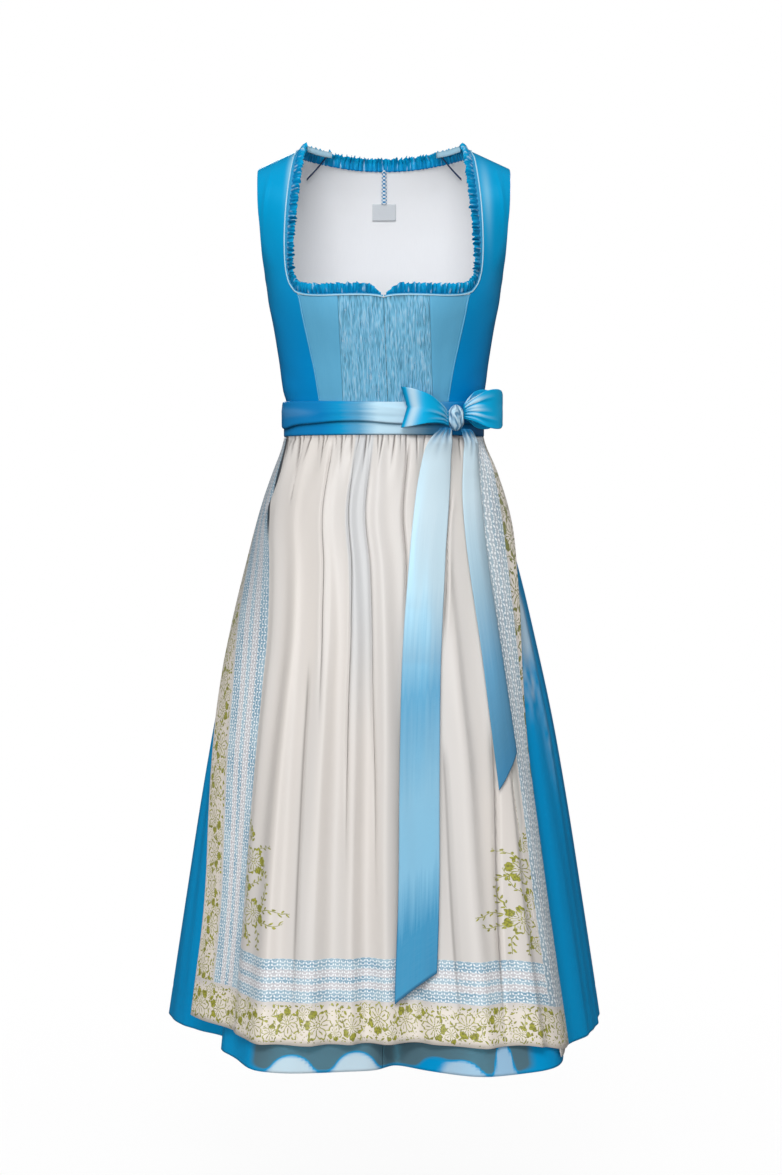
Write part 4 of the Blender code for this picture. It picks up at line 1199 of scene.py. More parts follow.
def label():
    """A plain woven patch, puffed a little, flat on the lining."""
    def place(across, down):
        pillow = 0.0003 * math.sin(math.pi * across) * math.sin(math.pi * down)
        height = mix(LABEL_TOP, LABEL_BOTTOM, down)
        return on_lining(mix(-LABEL_HALF, LABEL_HALF, across), height, LABEL_OFF + pillow)

    size = (2 * LABEL_HALF, LABEL_TOP - LABEL_BOTTOM)
    return cloth("label_cloth", 24, 12, place, size, LABEL, LABEL_WALL, "label")


BRAID = braid()
label()
for side, sign in reversed(SIDES):
    corner, seam = Vector((0.0745 * sign, 0.048, -0.0010)), Vector((0.1075 * sign, 0.010, 0.0012))
    side_ends = (seam, corner) if sign < 0 else (corner, seam)
    tape(f"shoulder_tape_{side}", *side_ends, TAPE_WIDTH, PIPING)
    ends = (on_lining(0.1140 * sign, -0.0290, 0.0026), Vector((0.0815 * sign, 0.0440, -0.0030)))
    tape(f"strap_ribbon_{side}", *(ends if sign < 0 else ends[::-1]), STRAP_RIBBON_WIDTH, NAVY)
print("braid faces:", len(BRAID.data.polygons))

# %% [markdown]
# ## The skirt
#
# Four panels are gathered into the waist. Small gathers start close together below the band and run
# into the large folds of the chart. Satin also shows long soft breaks across a fold, so a little
# uneven relief is laid over the folds, deeper towards the hem. A deep hem is turned up inside.
# Under the apron's hem and on the wearer's left side, painted shadow and painted highlights are
# kept on the cloth as its shade.

# %% Skirt panels
HEM_TURN, HEM_DEPTH = 0.040, 0.0005


def skirt_relief(degrees, height):
    """Small uneven creases of the skirt, kept low where the apron lies over it."""
    down = clamp((WAIST - height) / (WAIST - HEM))
    clear_of_apron = ease((abs(turn_apart(degrees, -6)) - 50) / 12)
    angle = math.radians(degrees)
    around = Vector((math.sin(angle) * 3.2, math.cos(angle) * 3.2, height * 1.3))
    broad = noise.noise(around) * 0.0060 * down
    long_creases = waver(around.x * 3.4, around.y * 3.4, height * 2.2) * 0.0032
    hem_line = -HEM_DEPTH * bell(height - HEM - HEM_TURN, 0.0016)
    return (broad + long_creases * mix(0.5, 1.0, down)) * mix(0.12, 1.0, clear_of_apron) + hem_line


# Painted highlights on the skirt's side: degrees, height, spread in degrees and in height, strength.
GLEAMS = (
    (64.0, -0.609, 3.0, 0.022, 0.18), (67.0, -0.645, 5.5, 0.028, 0.20),
    (65.0, -0.690, 6.0, 0.026, 0.18),
)
# More painted highlights, mottled, lower down the same side.
MOTTLED_GLEAMS = ((61.0, -0.742, 7.0, 0.034, 0.16), (68.0, -0.825, 3.0, 0.045, 0.08))

# Painted pale arches at the hem, folds that catch the light: degrees, half width, height, strength.
HEM_ARCHES = (
    (-20.2, 6.2, 0.034, 0.25), (-6.4, 6.6, 0.037, 0.24), (12.6, 5.8, 0.031, 0.0),
    (17.3, 5.0, 0.030, 0.17), (25.4, 3.0, 0.060, 0.14),
)


def hem_shade(degrees, height):
    """Painted shadow under the apron's hem, with the painted pale arches in it."""
    up = height - HEM
    shade = 0.9 * ease((up - 0.001) / 0.010) * ease((32 - abs(degrees - 1)) / 7)
    shade *= ease((0.075 - up) / 0.02)
    for at, half, top, strength in HEM_ARCHES:
        inside = 1.8 - 1.8 * ((degrees - at) / half) ** 2 - 1.8 * ((up + 0.004) / top) ** 2
        shade = mix(shade, -strength, ease(inside))
    return shade


def gleam(degrees, height):
    """How much painted highlight the skirt's satin has at a place."""
    def near(rows):
        return sum(
            strength * math.exp(-(((degrees - at) / wide) ** 2) - ((height - level) / tall) ** 2)
            for at, level, wide, tall, strength in rows
        )

    mottled = 0.5 + 1.4 * waver(degrees * 0.35, height * 55, 8.0)
    return clamp(near(GLEAMS) + near(MOTTLED_GLEAMS) * clamp(mottled))


def skirt_place(share, height):
    """A point of the skirt. Share runs once round from the centre back."""
    turn = 2 * math.pi * share
    degrees = share * 360.0 - 180.0 + 1.9 * math.sin(7 * turn) + 1.2 * math.sin(11 * turn)
    fade_in = ease((WAIST - 0.020 - height) / 0.060)
    fade_out = 1 - ease((-0.46 - height) / (-0.46 - GATHER_END))
    swing = GATHER_SWING * mix(0.12, 1.0, fade_in) * fade_out
    wave = -math.cos(2 * math.pi * share * GATHER_COUNT) - 1
    fine = 0.0009 * math.sin(2 * math.pi * share * GATHER_COUNT * 3 + 2 * math.sin(9 * turn))
    fine *= fade_out * ease((WAIST - 0.004 - height) / 0.02)
    out = fold_out(degrees, height, False) + swing * wave / 2 - abs(fine)
    round_deg = turn_apart(degrees, 0)
    # Painted shadow and painted highlights, kept as the cloth's shade.
    shade = hem_shade(round_deg, height) - gleam(round_deg, height)
    return form(degrees, height, out + skirt_relief(degrees, height)), clamp(shade, -1)


SKIRT_PANELS = (
    # name, share of the way round where it starts and ends
    ("skirt_back_right", 0.0, 0.25),
    ("skirt_front_right", 0.25, 0.50),
    ("skirt_front_left", 0.50, 0.75),
    ("skirt_back_left", 0.75, 1.0),
)


def skirt_panel(name, start, end):
    def place(across, down):
        height = mix(WAIST - SEAM, HEM, down - 0.6 * math.sin(2 * math.pi * down) / (2 * math.pi))
        gap = SEAM / (30 * SKIRT.at("half_width", height))
        return skirt_place(mix(start + gap, end - gap, across), height)

    return cloth(f"{name}_cloth", 150, 96, place, SKIRT_CUT, SATIN, SKIRT_WALL, name,
                 SATIN_BACK)


for row in SKIRT_PANELS:
    print(row[0], CUTS[skirt_panel(*row).name])

# %% [markdown]
# ## The printed border
#
# The apron's print is drawn by sums over the flat cloth: `u` metres from its left edge and `v`
# metres above its hem. Round three sides run a flower band and, inside it, a lattice band of dots
# and stripes, with a spray of flowers in each lower corner. An image would be quicker to place,
# but sums stay sharp at any distance. Each flower is a curve of its angle and radius.

# %% The apron's size and the flower
APRON_WIDTH, BORDER_WIDTH = 0.75, 0.054
OLIVE, LIGHT_OLIVE = linear(122, 122, 0), linear(168, 168, 12)
GROUND, COOL_GROUND = linear(217, 212, 208), linear(203, 204, 205)
WARM_GROUND, BAND_GROUND = linear(220, 213, 206), linear(236, 227, 216)
LATTICE_DEEP, LATTICE_BLUE = linear(124, 164, 188), linear(162, 192, 208)
LATTICE_LINE, LATTICE_PALE = linear(190, 208, 218), linear(208, 204, 207)
LATTICE_SHEEN, DOT_WHITE = linear(186, 196, 202), linear(248, 252, 254)
RIGHT_BAND_OLIVE, SIDE_SHADE, SLIT_SHADE = linear(72, 84, 0), linear(72, 100, 120), linear(16, 30, 44)
DOT_PITCH, DOT_ROW, DOT_APART, DOT_RADIUS = 0.0112, 0.0044, 0.0021, 0.00135
SHAKE, LEAF_PITCH, FLOWER_PITCH, FLOWER_LINE = 0.0060, 0.0042, 0.049, 0.0275


def flower(finish, x, y, radius, petals, turn):
    """Outlines of an open flower, thick on one side as a brush draws them, as a mask."""
    away = (x * x + y * y) ** 0.5 / radius
    angle = finish.node("ShaderNodeMath", {"operation": "ARCTAN2"}, {0: y, 1: x}) + turn
    lobe = abs((angle * (petals / 2)).cos())
    edge = lobe ** 0.7 * 0.44 + (angle * (petals * 3)).cos() * 0.045 + 0.50
    brush = finish.smooth((angle + 0.9).sin(), -0.3, 0.8) * finish.smooth(lobe, 0.2, 0.7)
    rim = finish.smooth(away - edge + brush * 0.27, -0.08, 0.01)
    rim = rim * finish.smooth(away - edge, 0.100, 0.062)
    inner = finish.smooth(abs(away - edge * 0.66), 0.075, 0.042)
    inner = inner * finish.smooth(lobe, 0.5, 0.8) * brush
    vein = finish.smooth((angle * (petals * 2)).cos(), 0.5, 0.9)
    vein = vein * finish.inside(away, 0.34, 0.66, 0.06)
    between = finish.smooth(lobe, 0.26, 0.12) * finish.inside(away, 0.24, 0.56, 0.03)
    stamens = finish.smooth((angle * 7.0).cos(), 0.0, 0.5) * finish.inside(away, 0.19, 0.28, 0.02)
    eye = finish.inside(away, 0.09, 0.145, 0.02)
    return rim.most(inner).most(vein).most(between).most(eye + stamens)


def shaken(finish, along, up):
    """A place moved a little by a slow noise, so that no two flowers are alike."""
    first = finish.noise(finish.place(along, up, 5.0), 90.0, 1.0)
    second = finish.noise(finish.place(along, up, 9.0), 90.0, 1.0)
    return along + (first - 0.5) * SHAKE, up + (second - 0.5) * SHAKE


def leaf(finish, x, y, long, wide, degrees):
    """A single leaf: an oval, turned by some degrees."""
    c, s = math.cos(math.radians(degrees)), math.sin(math.radians(degrees))
    along, across = (x * c + y * s) / long, (y * c - x * s) / wide
    return finish.smooth(along * along + across * across, 1.25, 0.75)


def sprig(finish, x, y, degrees, length, bend):
    """A bent stem with small leaves on its two sides in turn."""
    c, s = math.cos(math.radians(degrees)), math.sin(math.radians(degrees))
    along = x * c + y * s
    side = y * c - x * s - along * along * bend - (along * 260.0).sin() * 0.0010
    reach = finish.inside(along, 0.0, length, 0.0006)
    stem = finish.smooth(abs(side), 0.00065, 0.00030)
    turned = ((along / LEAF_PITCH).floor() % 2.0) * 2.0 - 1.0
    x, y = along % LEAF_PITCH - LEAF_PITCH / 2, side * turned - 0.0026
    leaves = leaf(finish, x, y, 0.0023, 0.0012, 50)
    return stem.most(leaves) * reach


def scattered_leaves(finish, vector, scale, size, kept):
    """Small leaves strewn at random angles, one in each cell of a Voronoi pattern."""
    sockets = {"Vector": vector, "Scale": scale, "Randomness": 0.85}
    cells = finish.node("ShaderNodeTexVoronoi", {"voronoi_dimensions": "2D"}, sockets)
    away = finish.node("ShaderNodeVectorMath", {"operation": "SUBTRACT"},
                       {0: vector, 1: cells.output("Position")})
    local = finish.node("ShaderNodeSeparateXYZ", {}, {0: away})
    x, y = local, local.output(1)
    hue = finish.node("ShaderNodeSeparateColor", {}, {0: cells.output("Color")})
    angle = hue * (2 * math.pi)
    keep = hue.output(1) < kept
    along = (x * angle.cos() + y * angle.sin()) / size
    across = (y * angle.cos() - x * angle.sin()) / (size * 0.40)
    return finish.smooth(along * along + across * across, 1.3, 0.8) * keep


print("the flower, leaf and sprig are ready")

# %% The lattice, the sprays and the apron's finish
def lattice(finish, along, inwards, right_band):
    """Colour of the dotted lattice band, inwards running from its outer edge."""
    edge = inwards + (along * (4 * math.pi / DOT_PITCH)).sin() * 0.0005
    pale = finish.inside(edge, 0.0146, 0.0234, 0.0006) + finish.inside(edge, 0.0304, 0.0404, 0.0006)
    larger = 1.0 - right_band * 0.40
    along, inwards = along * larger, inwards * larger
    shift = ((inwards / (2 * DOT_ROW)).floor() % 2.0) * (DOT_PITCH / 2)
    across = (along + shift) % DOT_PITCH - DOT_PITCH / 2
    x = abs(across) - DOT_APART
    y = inwards % DOT_ROW - DOT_ROW / 2 + x * 0.35
    dots = finish.smooth(x * x + y * y, DOT_RADIUS**2 * 1.5, DOT_RADIUS**2 * 0.4)
    x, y = abs(across) - DOT_PITCH * 0.42, inwards % DOT_ROW - DOT_ROW * 0.2
    small = finish.smooth(x * x + y * y, DOT_RADIUS**2 * 0.7, DOT_RADIUS**2 * 0.2)
    rising = along / DOT_PITCH + inwards / (4 * DOT_ROW)
    falling = along / DOT_PITCH - inwards / (4 * DOT_ROW)
    lines = finish.smooth(abs((rising * math.pi).cos()), 0.24, 0.06)
    lines = lines.most(finish.smooth(abs((falling * math.pi).cos()), 0.24, 0.06))
    tone = finish.grain(along * 22.0, inwards * 60.0)
    ground = finish.blend(finish.smooth(tone, 0.35, 0.65), LATTICE_DEEP, LATTICE_BLUE)
    ground = finish.blend(lines * 0.45, ground, LATTICE_LINE)
    # On the right band the pale stripes are weaker, and a painted sheen pales the lattice.
    ground = finish.blend(pale * (0.90 - right_band * 0.45), ground, LATTICE_PALE)
    ground = finish.blend(right_band * 0.35, ground, LATTICE_SHEEN)
    return finish.blend(dots.most(small * 0.8) * 0.95, ground, DOT_WHITE)


SPRAY_FLOWERS = (
    # metres in from the lattice's inner edge, metres above it, radius, petals, turn
    (0.022, 0.052, 0.0195, 7, 0.3),
    (0.016, 0.118, 0.0185, 6, 0.9),
    (0.001, 0.082, 0.0150, 6, 0.0),
    (0.004, 0.024, 0.0120, 5, 0.5),
    (0.006, 0.152, 0.0090, 5, 0.2),
)
SPRAY_SPRIGS = (
    # in, up, degrees, length, bend
    (0.036, 0.066, 55, 0.028, 14.0), (0.040, 0.058, 18, 0.030, -16.0),
    (0.038, 0.044, -18, 0.026, 12.0), (0.030, 0.032, -58, 0.024, -14.0),
    (0.014, 0.028, -80, 0.020, 10.0), (0.012, 0.142, 100, 0.040, 7.0),
    (0.024, 0.132, 48, 0.022, -18.0), (0.024, 0.108, -22, 0.020, 16.0),
    (0.016, 0.086, 30, 0.034, 15.0),
)


GATHERED = 0.68  # how much of the cloth's width is left once it is gathered


def spray(finish, inwards, up):
    """The flowers and sprigs of a lower corner."""
    mask = None
    inwards, up = shaken(finish, inwards * GATHERED, up)
    for x, y, radius, petals, turn in SPRAY_FLOWERS:
        made = flower(finish, inwards - x, up - y, radius, petals, turn)
        mask = made if mask is None else mask.most(made)
    for x, y, degrees, length, bend in SPRAY_SPRIGS:
        mask = mask.most(sprig(finish, inwards - x, up - y, degrees, length, bend))
    return mask * (inwards > 0.0) * (up > 0.0)


def scatter(cell, seed):
    """A number from 0 to 1 that looks random but stays the same for each cell."""
    return ((cell * 12.9898 + seed).sin() * 437.585) % 1.0


def flower_band(finish, along, inwards):
    """The running flower border: large and small flowers in turn among sprigs and leaves."""
    pitch = FLOWER_PITCH
    along, inwards = shaken(finish, along, inwards)
    cell = (along / pitch).floor()
    x = along % pitch - pitch / 2 + (scatter(cell, 1.0) - 0.5) * 0.010
    y = inwards - FLOWER_LINE + (scatter(cell, 2.0) - 0.5) * 0.014
    radius = scatter(cell, 3.0) * 0.0050 + 0.0165
    big = flower(finish, x, y, radius, 6, scatter(cell, 4.0) * 6.28)
    near_big = finish.smooth((x * x + y * y) / (radius * radius), 0.95, 1.05)
    cell = (along / pitch + 0.5).floor()
    small_x = (along + pitch / 2) % pitch - pitch / 2
    small_y = inwards - 0.0140 - (cell % 2.0) * 0.0260
    small = flower(finish, small_x, small_y, 0.0115, 5, scatter(cell, 6.0) * 6.28) * near_big
    near_small = finish.smooth(small_x * small_x + small_y * small_y, 0.0112**2, 0.0120**2)
    free = near_big * near_small * finish.inside(inwards, 0.0035, 0.0515, 0.001)
    where = finish.place(along, inwards)
    strewn = scattered_leaves(finish, where, 150.0, 0.0030, 0.50)
    strewn = strewn.most(scattered_leaves(finish, where, 290.0, 0.0013, 0.40))
    sprigs = sprig(finish, small_x - 0.004, small_y - 0.006, 62, 0.022, 18.0)
    sprigs = sprigs.most(sprig(finish, small_x + 0.004, small_y + 0.006, -118, 0.022, 14.0))
    return big.most(small).most(strewn.most(sprigs) * free)


def apron_print():
    finish = Finish("printed apron silk", 0.44, specular_ior_level=0.45, sheen_weight=0.12,
                    sheen_roughness=0.4)
    u, v = finish.cloth_xy()
    edge = u.least(APRON_WIDTH - u)
    in_hem = v < BORDER_WIDTH
    along = u * in_hem + v * (1 - in_hem)
    outer = v * in_hem + edge * (1 - in_hem)
    in_side = (edge < 2 * BORDER_WIDTH) * (1 - in_hem)
    lattice_along = v * in_side + u * (1 - in_side)
    lattice_in = (edge - BORDER_WIDTH) * in_side + (v - BORDER_WIDTH) * (1 - in_side)
    in_flowers = finish.smooth(outer, BORDER_WIDTH + 0.0002, BORDER_WIDTH - 0.0002)
    in_lattice = finish.inside(lattice_in, 0.0, BORDER_WIDTH, 0.0003) * (1 - in_flowers)
    streaks = finish.grain(u * 30.0, v * 1.5, 2.0)
    warm = finish.blend(streaks, GROUND, WARM_GROUND)
    patches = finish.smooth(finish.grain(u * 9.0, v * 0.8, 2.0, z=3.0), 0.42, 0.62) * 0.25
    stripe = finish.inside(u, 0.3066, 0.3580, 0.004) * finish.smooth(v, 0.35, 0.60)
    cool = finish.blend(patches.most(stripe), warm, COOL_GROUND)
    ink = finish.noise(finish.place(u, v), 330.0, 2.0)
    olive = finish.blend(finish.smooth(ink, 0.40, 0.60), OLIVE, LIGHT_OLIVE)
    # The right band: larger print, a painted sheen on its lattice, and darker ink.
    right_band = in_side * (u > APRON_WIDTH / 2)
    olive = finish.blend(right_band * 0.5, olive, RIGHT_BAND_OLIVE)
    corner = spray(finish, edge - 2 * BORDER_WIDTH, v - 2 * BORDER_WIDTH)
    colour = finish.blend(corner * 0.94, cool, olive)
    colour = finish.blend(in_lattice, colour, lattice(finish, lattice_along, lattice_in, right_band))
    band = finish.blend(finish.smooth(outer, 0.040, 0.053), BAND_GROUND, GROUND)
    # Painted shadow where the pleat closes over the band.
    slit = finish.inside(u, 0.1035, 0.1105, 0.0012) * finish.smooth(v, 0.655, 0.70)
    larger = 1.0 - right_band * 0.40
    flowers = flower_band(finish, along * larger, (outer - FLOWER_LINE) * larger + FLOWER_LINE)
    band = finish.blend(flowers * 0.94, band, olive)
    colour = finish.blend(in_flowers, colour, band)
    shaded = finish.smooth(v, 0.45, 0.66) * (u < 0.108) * 0.32
    colour = finish.blend(shaded, colour, SIDE_SHADE)
    colour = finish.blend(slit * 0.9, colour, SLIT_SHADE)
    # Painted shade in the creases and painted highlights, set by the cloth's shade.
    finish.colour(finish.painted_shading(colour, linear(84, 76, 72), linear(238, 234, 228), 0.8))
    threads = finish.grain(u * 1500.0, v * 40.0)
    hem_stitch = finish.smooth(abs(outer - 0.0030), 0.0007, 0.0003)
    hem_stitch = hem_stitch * ((along * (2 * math.pi / 0.0024)).sin() > -0.3)
    finish.bump(threads - hem_stitch * 1.5, THREAD_DEPTH, 0.45)
    finish.set("Roughness", 0.44 + (threads - 0.5) * 0.10)
    return finish.material


APRON_SILK = apron_print()
APRON_BACK = dull_cloth("apron wrong side", linear(196, 193, 188), linear(206, 203, 198), 0.60)
print("print nodes:", len(APRON_SILK.node_tree.nodes))

# %% [markdown]
# ## The apron
#
# The apron is gathered into its waistband and hangs over the skirt's folds. Its own folds are soft
# ridges, with narrow sharp creases between some of them where the silk doubles under. Painted shade
# lies in the creases and painted highlights beside the small gathers. Its edge on the wearer's left
# is turned under from the hip down. On the other side a pleat closes over the band, and the dark
# line that it leaves is painted shadow, drawn over the print.

# %% The apron's folds
BAND_TOP, BAND_BOTTOM, BAND_WALL, BAND_OUT = -0.3680, -0.4050, 0.0014, 0.0051
APRON_GATHERS, APRON_GATHER_SWING, APRON_GATHER_FADE = 11, 0.0030, 0.075
APRON_CLEAR, APRON_EDGE_DROP, APRON_EDGE_LIFT, TURN_RADIUS = 0.0034, 0.026, 0.0058, 0.0025

APRON_LINES = Table(
    "height left_edge left_inner right_inner right_fold band_shown",
    (-0.399, -112.0, -76.0, 66.0, 96.0, 1.00),
    (-0.500, -103.0, -68.0, 49.0, 84.0, 0.94),
    (-0.580, -96.0, -54.8, 46.5, 68.5, 0.66),
    (-0.665, -89.0, -47.2, 43.5, 59.0, 0.38),
    (-0.750, -77.0, -44.2, 41.5, 52.2, 0.12),
    (-0.836, -69.5, -42.6, 40.5, 48.2, 0.05),
    (-1.009, -58.8, -40.0, 38.0, 46.6, 0.04),
    (-1.215, -57.0, -38.0, 37.6, 48.2, 0.04),
)

APRON_FOLDS = (
    # across at the waist, across at the hem, height, spread on the left, spread on the right
    (0.040, 0.030, 0.008, 0.030, 0.040),
    (0.130, 0.140, 0.010, 0.045, 0.024),
    (0.290, 0.280, 0.011, 0.060, 0.026),
    (0.405, 0.400, 0.010, 0.040, 0.022),
    (0.520, 0.520, 0.014, 0.040, 0.045),
    (0.680, 0.665, 0.008, 0.024, 0.045),
    (0.810, 0.805, 0.008, 0.040, 0.026),
    (0.940, 0.943, 0.011, 0.045, 0.018),
)

# Narrow creases: depth, width, then the height and place across of points along each.
APRON_CREASES = (
    (0.0032, 0.0070, (-0.408, 0.034), (-0.440, 0.018), (-0.475, 0.004), (-0.500, -0.018),
     (-0.535, -0.060)),
    (0.0030, 0.0040, (-0.404, 0.094), (-0.440, 0.099), (-0.500, 0.104)),
    (0.0034, 0.0045, (-0.404, 0.252), (-0.480, 0.262), (-0.560, 0.262), (-0.660, 0.256),
     (-0.800, 0.272)),
    (0.0034, 0.0042, (-0.420, 0.376), (-0.545, 0.388), (-0.663, 0.376), (-0.806, 0.372),
     (-0.990, 0.380)),
    (0.0026, 0.0040, (-0.406, 0.458), (-0.560, 0.468), (-0.700, 0.466), (-0.885, 0.480),
     (-1.040, 0.486)),
    (0.0034, 0.0042, (-0.406, 0.650), (-0.550, 0.640), (-0.700, 0.598)),
    (0.0030, 0.0042, (-0.480, 0.885), (-0.580, 0.815), (-0.700, 0.755)),
    (0.0026, 0.0042, (-0.540, 0.978), (-0.634, 0.984), (-0.790, 0.966)),
    (0.0036, 0.0046, (-0.780, 0.912), (-0.949, 0.890), (-1.082, 0.872), (-1.215, 0.852)),
    (0.0020, 0.0090, (-0.700, 0.205), (-0.900, 0.215), (-1.190, 0.226)),
    (0.0022, 0.0080, (-0.760, 0.600), (-0.950, 0.590), (-1.190, 0.584)),
    (0.0018, 0.0080, (-0.800, 0.735), (-1.000, 0.740), (-1.200, 0.742)),
)
CREASE_PATHS = [
    (depth, width, Table("height across", *path)) for depth, width, *path in APRON_CREASES
]

# Small gathers below the waistband, each with its own length.
WAIST_GATHERS = (
    # across, lean, length, depth, width
    (0.007, 0.004, 0.040, 0.0020, 0.0045), (0.052, 0.010, 0.036, 0.0018, 0.0050),
    (0.076, 0.022, 0.062, 0.0024, 0.0050), (0.100, 0.004, 0.030, 0.0016, 0.0040),
    (0.137, -0.010, 0.044, 0.0022, 0.0050), (0.177, 0.008, 0.026, 0.0016, 0.0045),
    (0.203, 0.016, 0.052, 0.0024, 0.0050), (0.226, -0.010, 0.028, 0.0016, 0.0040),
    (0.269, 0.012, 0.024, 0.0016, 0.0040), (0.300, 0.020, 0.050, 0.0026, 0.0055),
    (0.322, -0.008, 0.022, 0.0014, 0.0040), (0.352, 0.012, 0.040, 0.0022, 0.0045),
    (0.391, -0.010, 0.030, 0.0018, 0.0040), (0.428, 0.004, 0.056, 0.0024, 0.0050),
    (0.448, -0.006, 0.026, 0.0016, 0.0040), (0.488, 0.010, 0.034, 0.0022, 0.0045),
    (0.514, -0.012, 0.052, 0.0022, 0.0050), (0.542, 0.010, 0.024, 0.0016, 0.0040),
    (0.576, -0.010, 0.050, 0.0024, 0.0050), (0.606, 0.006, 0.026, 0.0016, 0.0040),
    (0.634, 0.012, 0.044, 0.0022, 0.0045), (0.689, 0.010, 0.046, 0.0022, 0.0050),
    (0.734, -0.012, 0.034, 0.0018, 0.0045), (0.792, 0.004, 0.050, 0.0024, 0.0050),
    (0.856, -0.006, 0.036, 0.0020, 0.0045), (0.913, 0.006, 0.044, 0.0022, 0.0050),
    (0.961, -0.004, 0.034, 0.0020, 0.0045),
)


def middle_ends(height):
    """The plain middle's two ends as seen from the front, as sines of their angles."""
    ends = (APRON_LINES.at(column, height) for column in ("left_inner", "right_inner"))
    return [math.sin(math.radians(degrees)) for degrees in ends]


def middle_degrees(middle, height):
    """The angle of a place across the plain middle, which spreads evenly as seen from the front."""
    left, right = middle_ends(height)
    return math.degrees(math.asin(mix(left, right, middle)))


def middle_share(degrees, height):
    left, right = middle_ends(height)
    return (math.sin(math.radians(degrees)) - left) / (right - left)


def apron_out(across, height):
    """How far the apron stands off the skirt's form, for a place across its plain middle."""
    down = clamp((BAND_BOTTOM - height) / (BAND_BOTTOM - APRON_HEM))
    total = 0.0
    for at_waist, at_hem, size, left, right in APRON_FOLDS:
        grown = mix(0.20, 1.0, ease(down * 1.5))
        widen = mix(0.75, 1.15, down)
        distance = across - mix(at_waist, at_hem, down)
        total += size * grown * hill(distance, left * widen, right * widen)
    fade = 1 - ease((BAND_BOTTOM - 0.015 - height) / APRON_GATHER_FADE)
    wave = (1 - math.cos(2 * math.pi * APRON_GATHERS * across)) / 2
    gathers = APRON_GATHER_SWING * fade * wave * ease((BAND_BOTTOM - height) / 0.012)
    return total * ease((BAND_BOTTOM - height) / 0.05) + gathers


def apron_relief(across, height):
    """The fine creases, sharp on one side, with painted shade and painted highlights."""
    relief, shade = 0.0008 * waver(across * 16, height * 9, 2.0), 0.0
    for depth, width, path in CREASE_PATHS:
        foot, top = path.keys[0], path.keys[-1]
        t = (top - height) / (top - foot)
        if not 0 < t < 1:
            continue
        distance = across - path.at("across", height)
        ends = ease(t / 0.12) * ease((1 - t) / 0.35)
        relief -= depth * ends * hill(distance, width * 2.2, width * 0.9)
        relief += 0.55 * depth * ends * hill(distance - width * 2.2, width, width * 3.5)
        shade += depth / 0.0034 * ends * hill(distance, width * 0.50, width * 0.42)
        shade += 0.16 * depth / 0.0040 * ends * hill(distance, width * 4.0, width)
    below = BAND_BOTTOM - height
    for at, lean, length, depth, width in WAIST_GATHERS:
        if below > length:
            continue
        fold = 1 - ease(below / length)
        distance = across - at - lean * below / length
        relief -= depth * ease(below / 0.006) * fold * bell(distance, width)
        shade += 1.5 * depth / 0.0024 * fold * hill(distance, width * 0.9, width * 0.6)
        shade -= 0.5 * depth / 0.0024 * fold * bell(distance - 1.5 * width, width)
    # Painted shade also lies just under the waistband.
    return relief, clamp(shade + 0.35 * bell(below, 0.004), -0.7)


def apron_lift(middle, height):
    """How far the apron's surface stands off the skirt, across its middle and right band."""
    start = ease((BAND_BOTTOM - height) / 0.05)
    edge = APRON_EDGE_LIFT * ease((middle - 0.93) / 0.16) * start
    return APRON_CLEAR + edge + apron_out(clamp(middle), height)


def apron_place(cloth_x, height):
    """A point of the apron. Cloth_x runs over the flat cloth's width, from its left edge."""
    side = 2 * BORDER_WIDTH

    def line(column):
        return APRON_LINES.at(column, height)

    fold_at = APRON_WIDTH - BORDER_WIDTH + BORDER_WIDTH * line("band_shown")
    start = ease((BAND_BOTTOM - height) / 0.05)
    middle = (cloth_x - side) / (APRON_WIDTH - 2 * side)
    slit = turned = 0.0
    if cloth_x < side:
        degrees = mix(line("left_edge"), line("left_inner"), cloth_x / side)
        slit = 0.003 * start * hill(cloth_x / side - 0.45, 0.4, 0.3)
    elif middle <= 1:
        degrees = middle_degrees(middle, height)
    else:
        share = (min(cloth_x, fold_at) - (APRON_WIDTH - side)) / (fold_at - APRON_WIDTH + side)
        degrees = mix(line("right_inner"), line("right_fold"), share)
        turned = max(0.0, cloth_x - fold_at)
    relief, shade = apron_relief(middle, height)
    out = apron_lift(middle, height) + slit + relief
    if turned > 0:
        angle = min(turned / TURN_RADIUS, math.pi)
        flat = max(0.0, turned - math.pi * TURN_RADIUS)
        out -= TURN_RADIUS * (1 - math.cos(angle))
        ahead = TURN_RADIUS * math.sin(angle) - flat
        degrees += math.degrees(ahead / SKIRT.at("half_width", height)) * 1.08
    return form(degrees, height, out + fold_out(degrees, height, True)), shade


def apron_hem(cloth_x):
    """The hem is level, and hangs lower by the turned right edge."""
    return APRON_HEM - APRON_EDGE_DROP * ease((cloth_x / APRON_WIDTH - 0.78) / 0.16)


print("the apron has", len(APRON_CREASES), "creases and", len(WAIST_GATHERS), "small gathers")

# %% The apron's sheet
APRON_ROWS = 100
LEFT_COLUMNS, MIDDLE_COLUMNS, BAND_COLUMNS, TURN_COLUMNS, UNDER_COLUMNS = 56, 330, 44, 10, 6


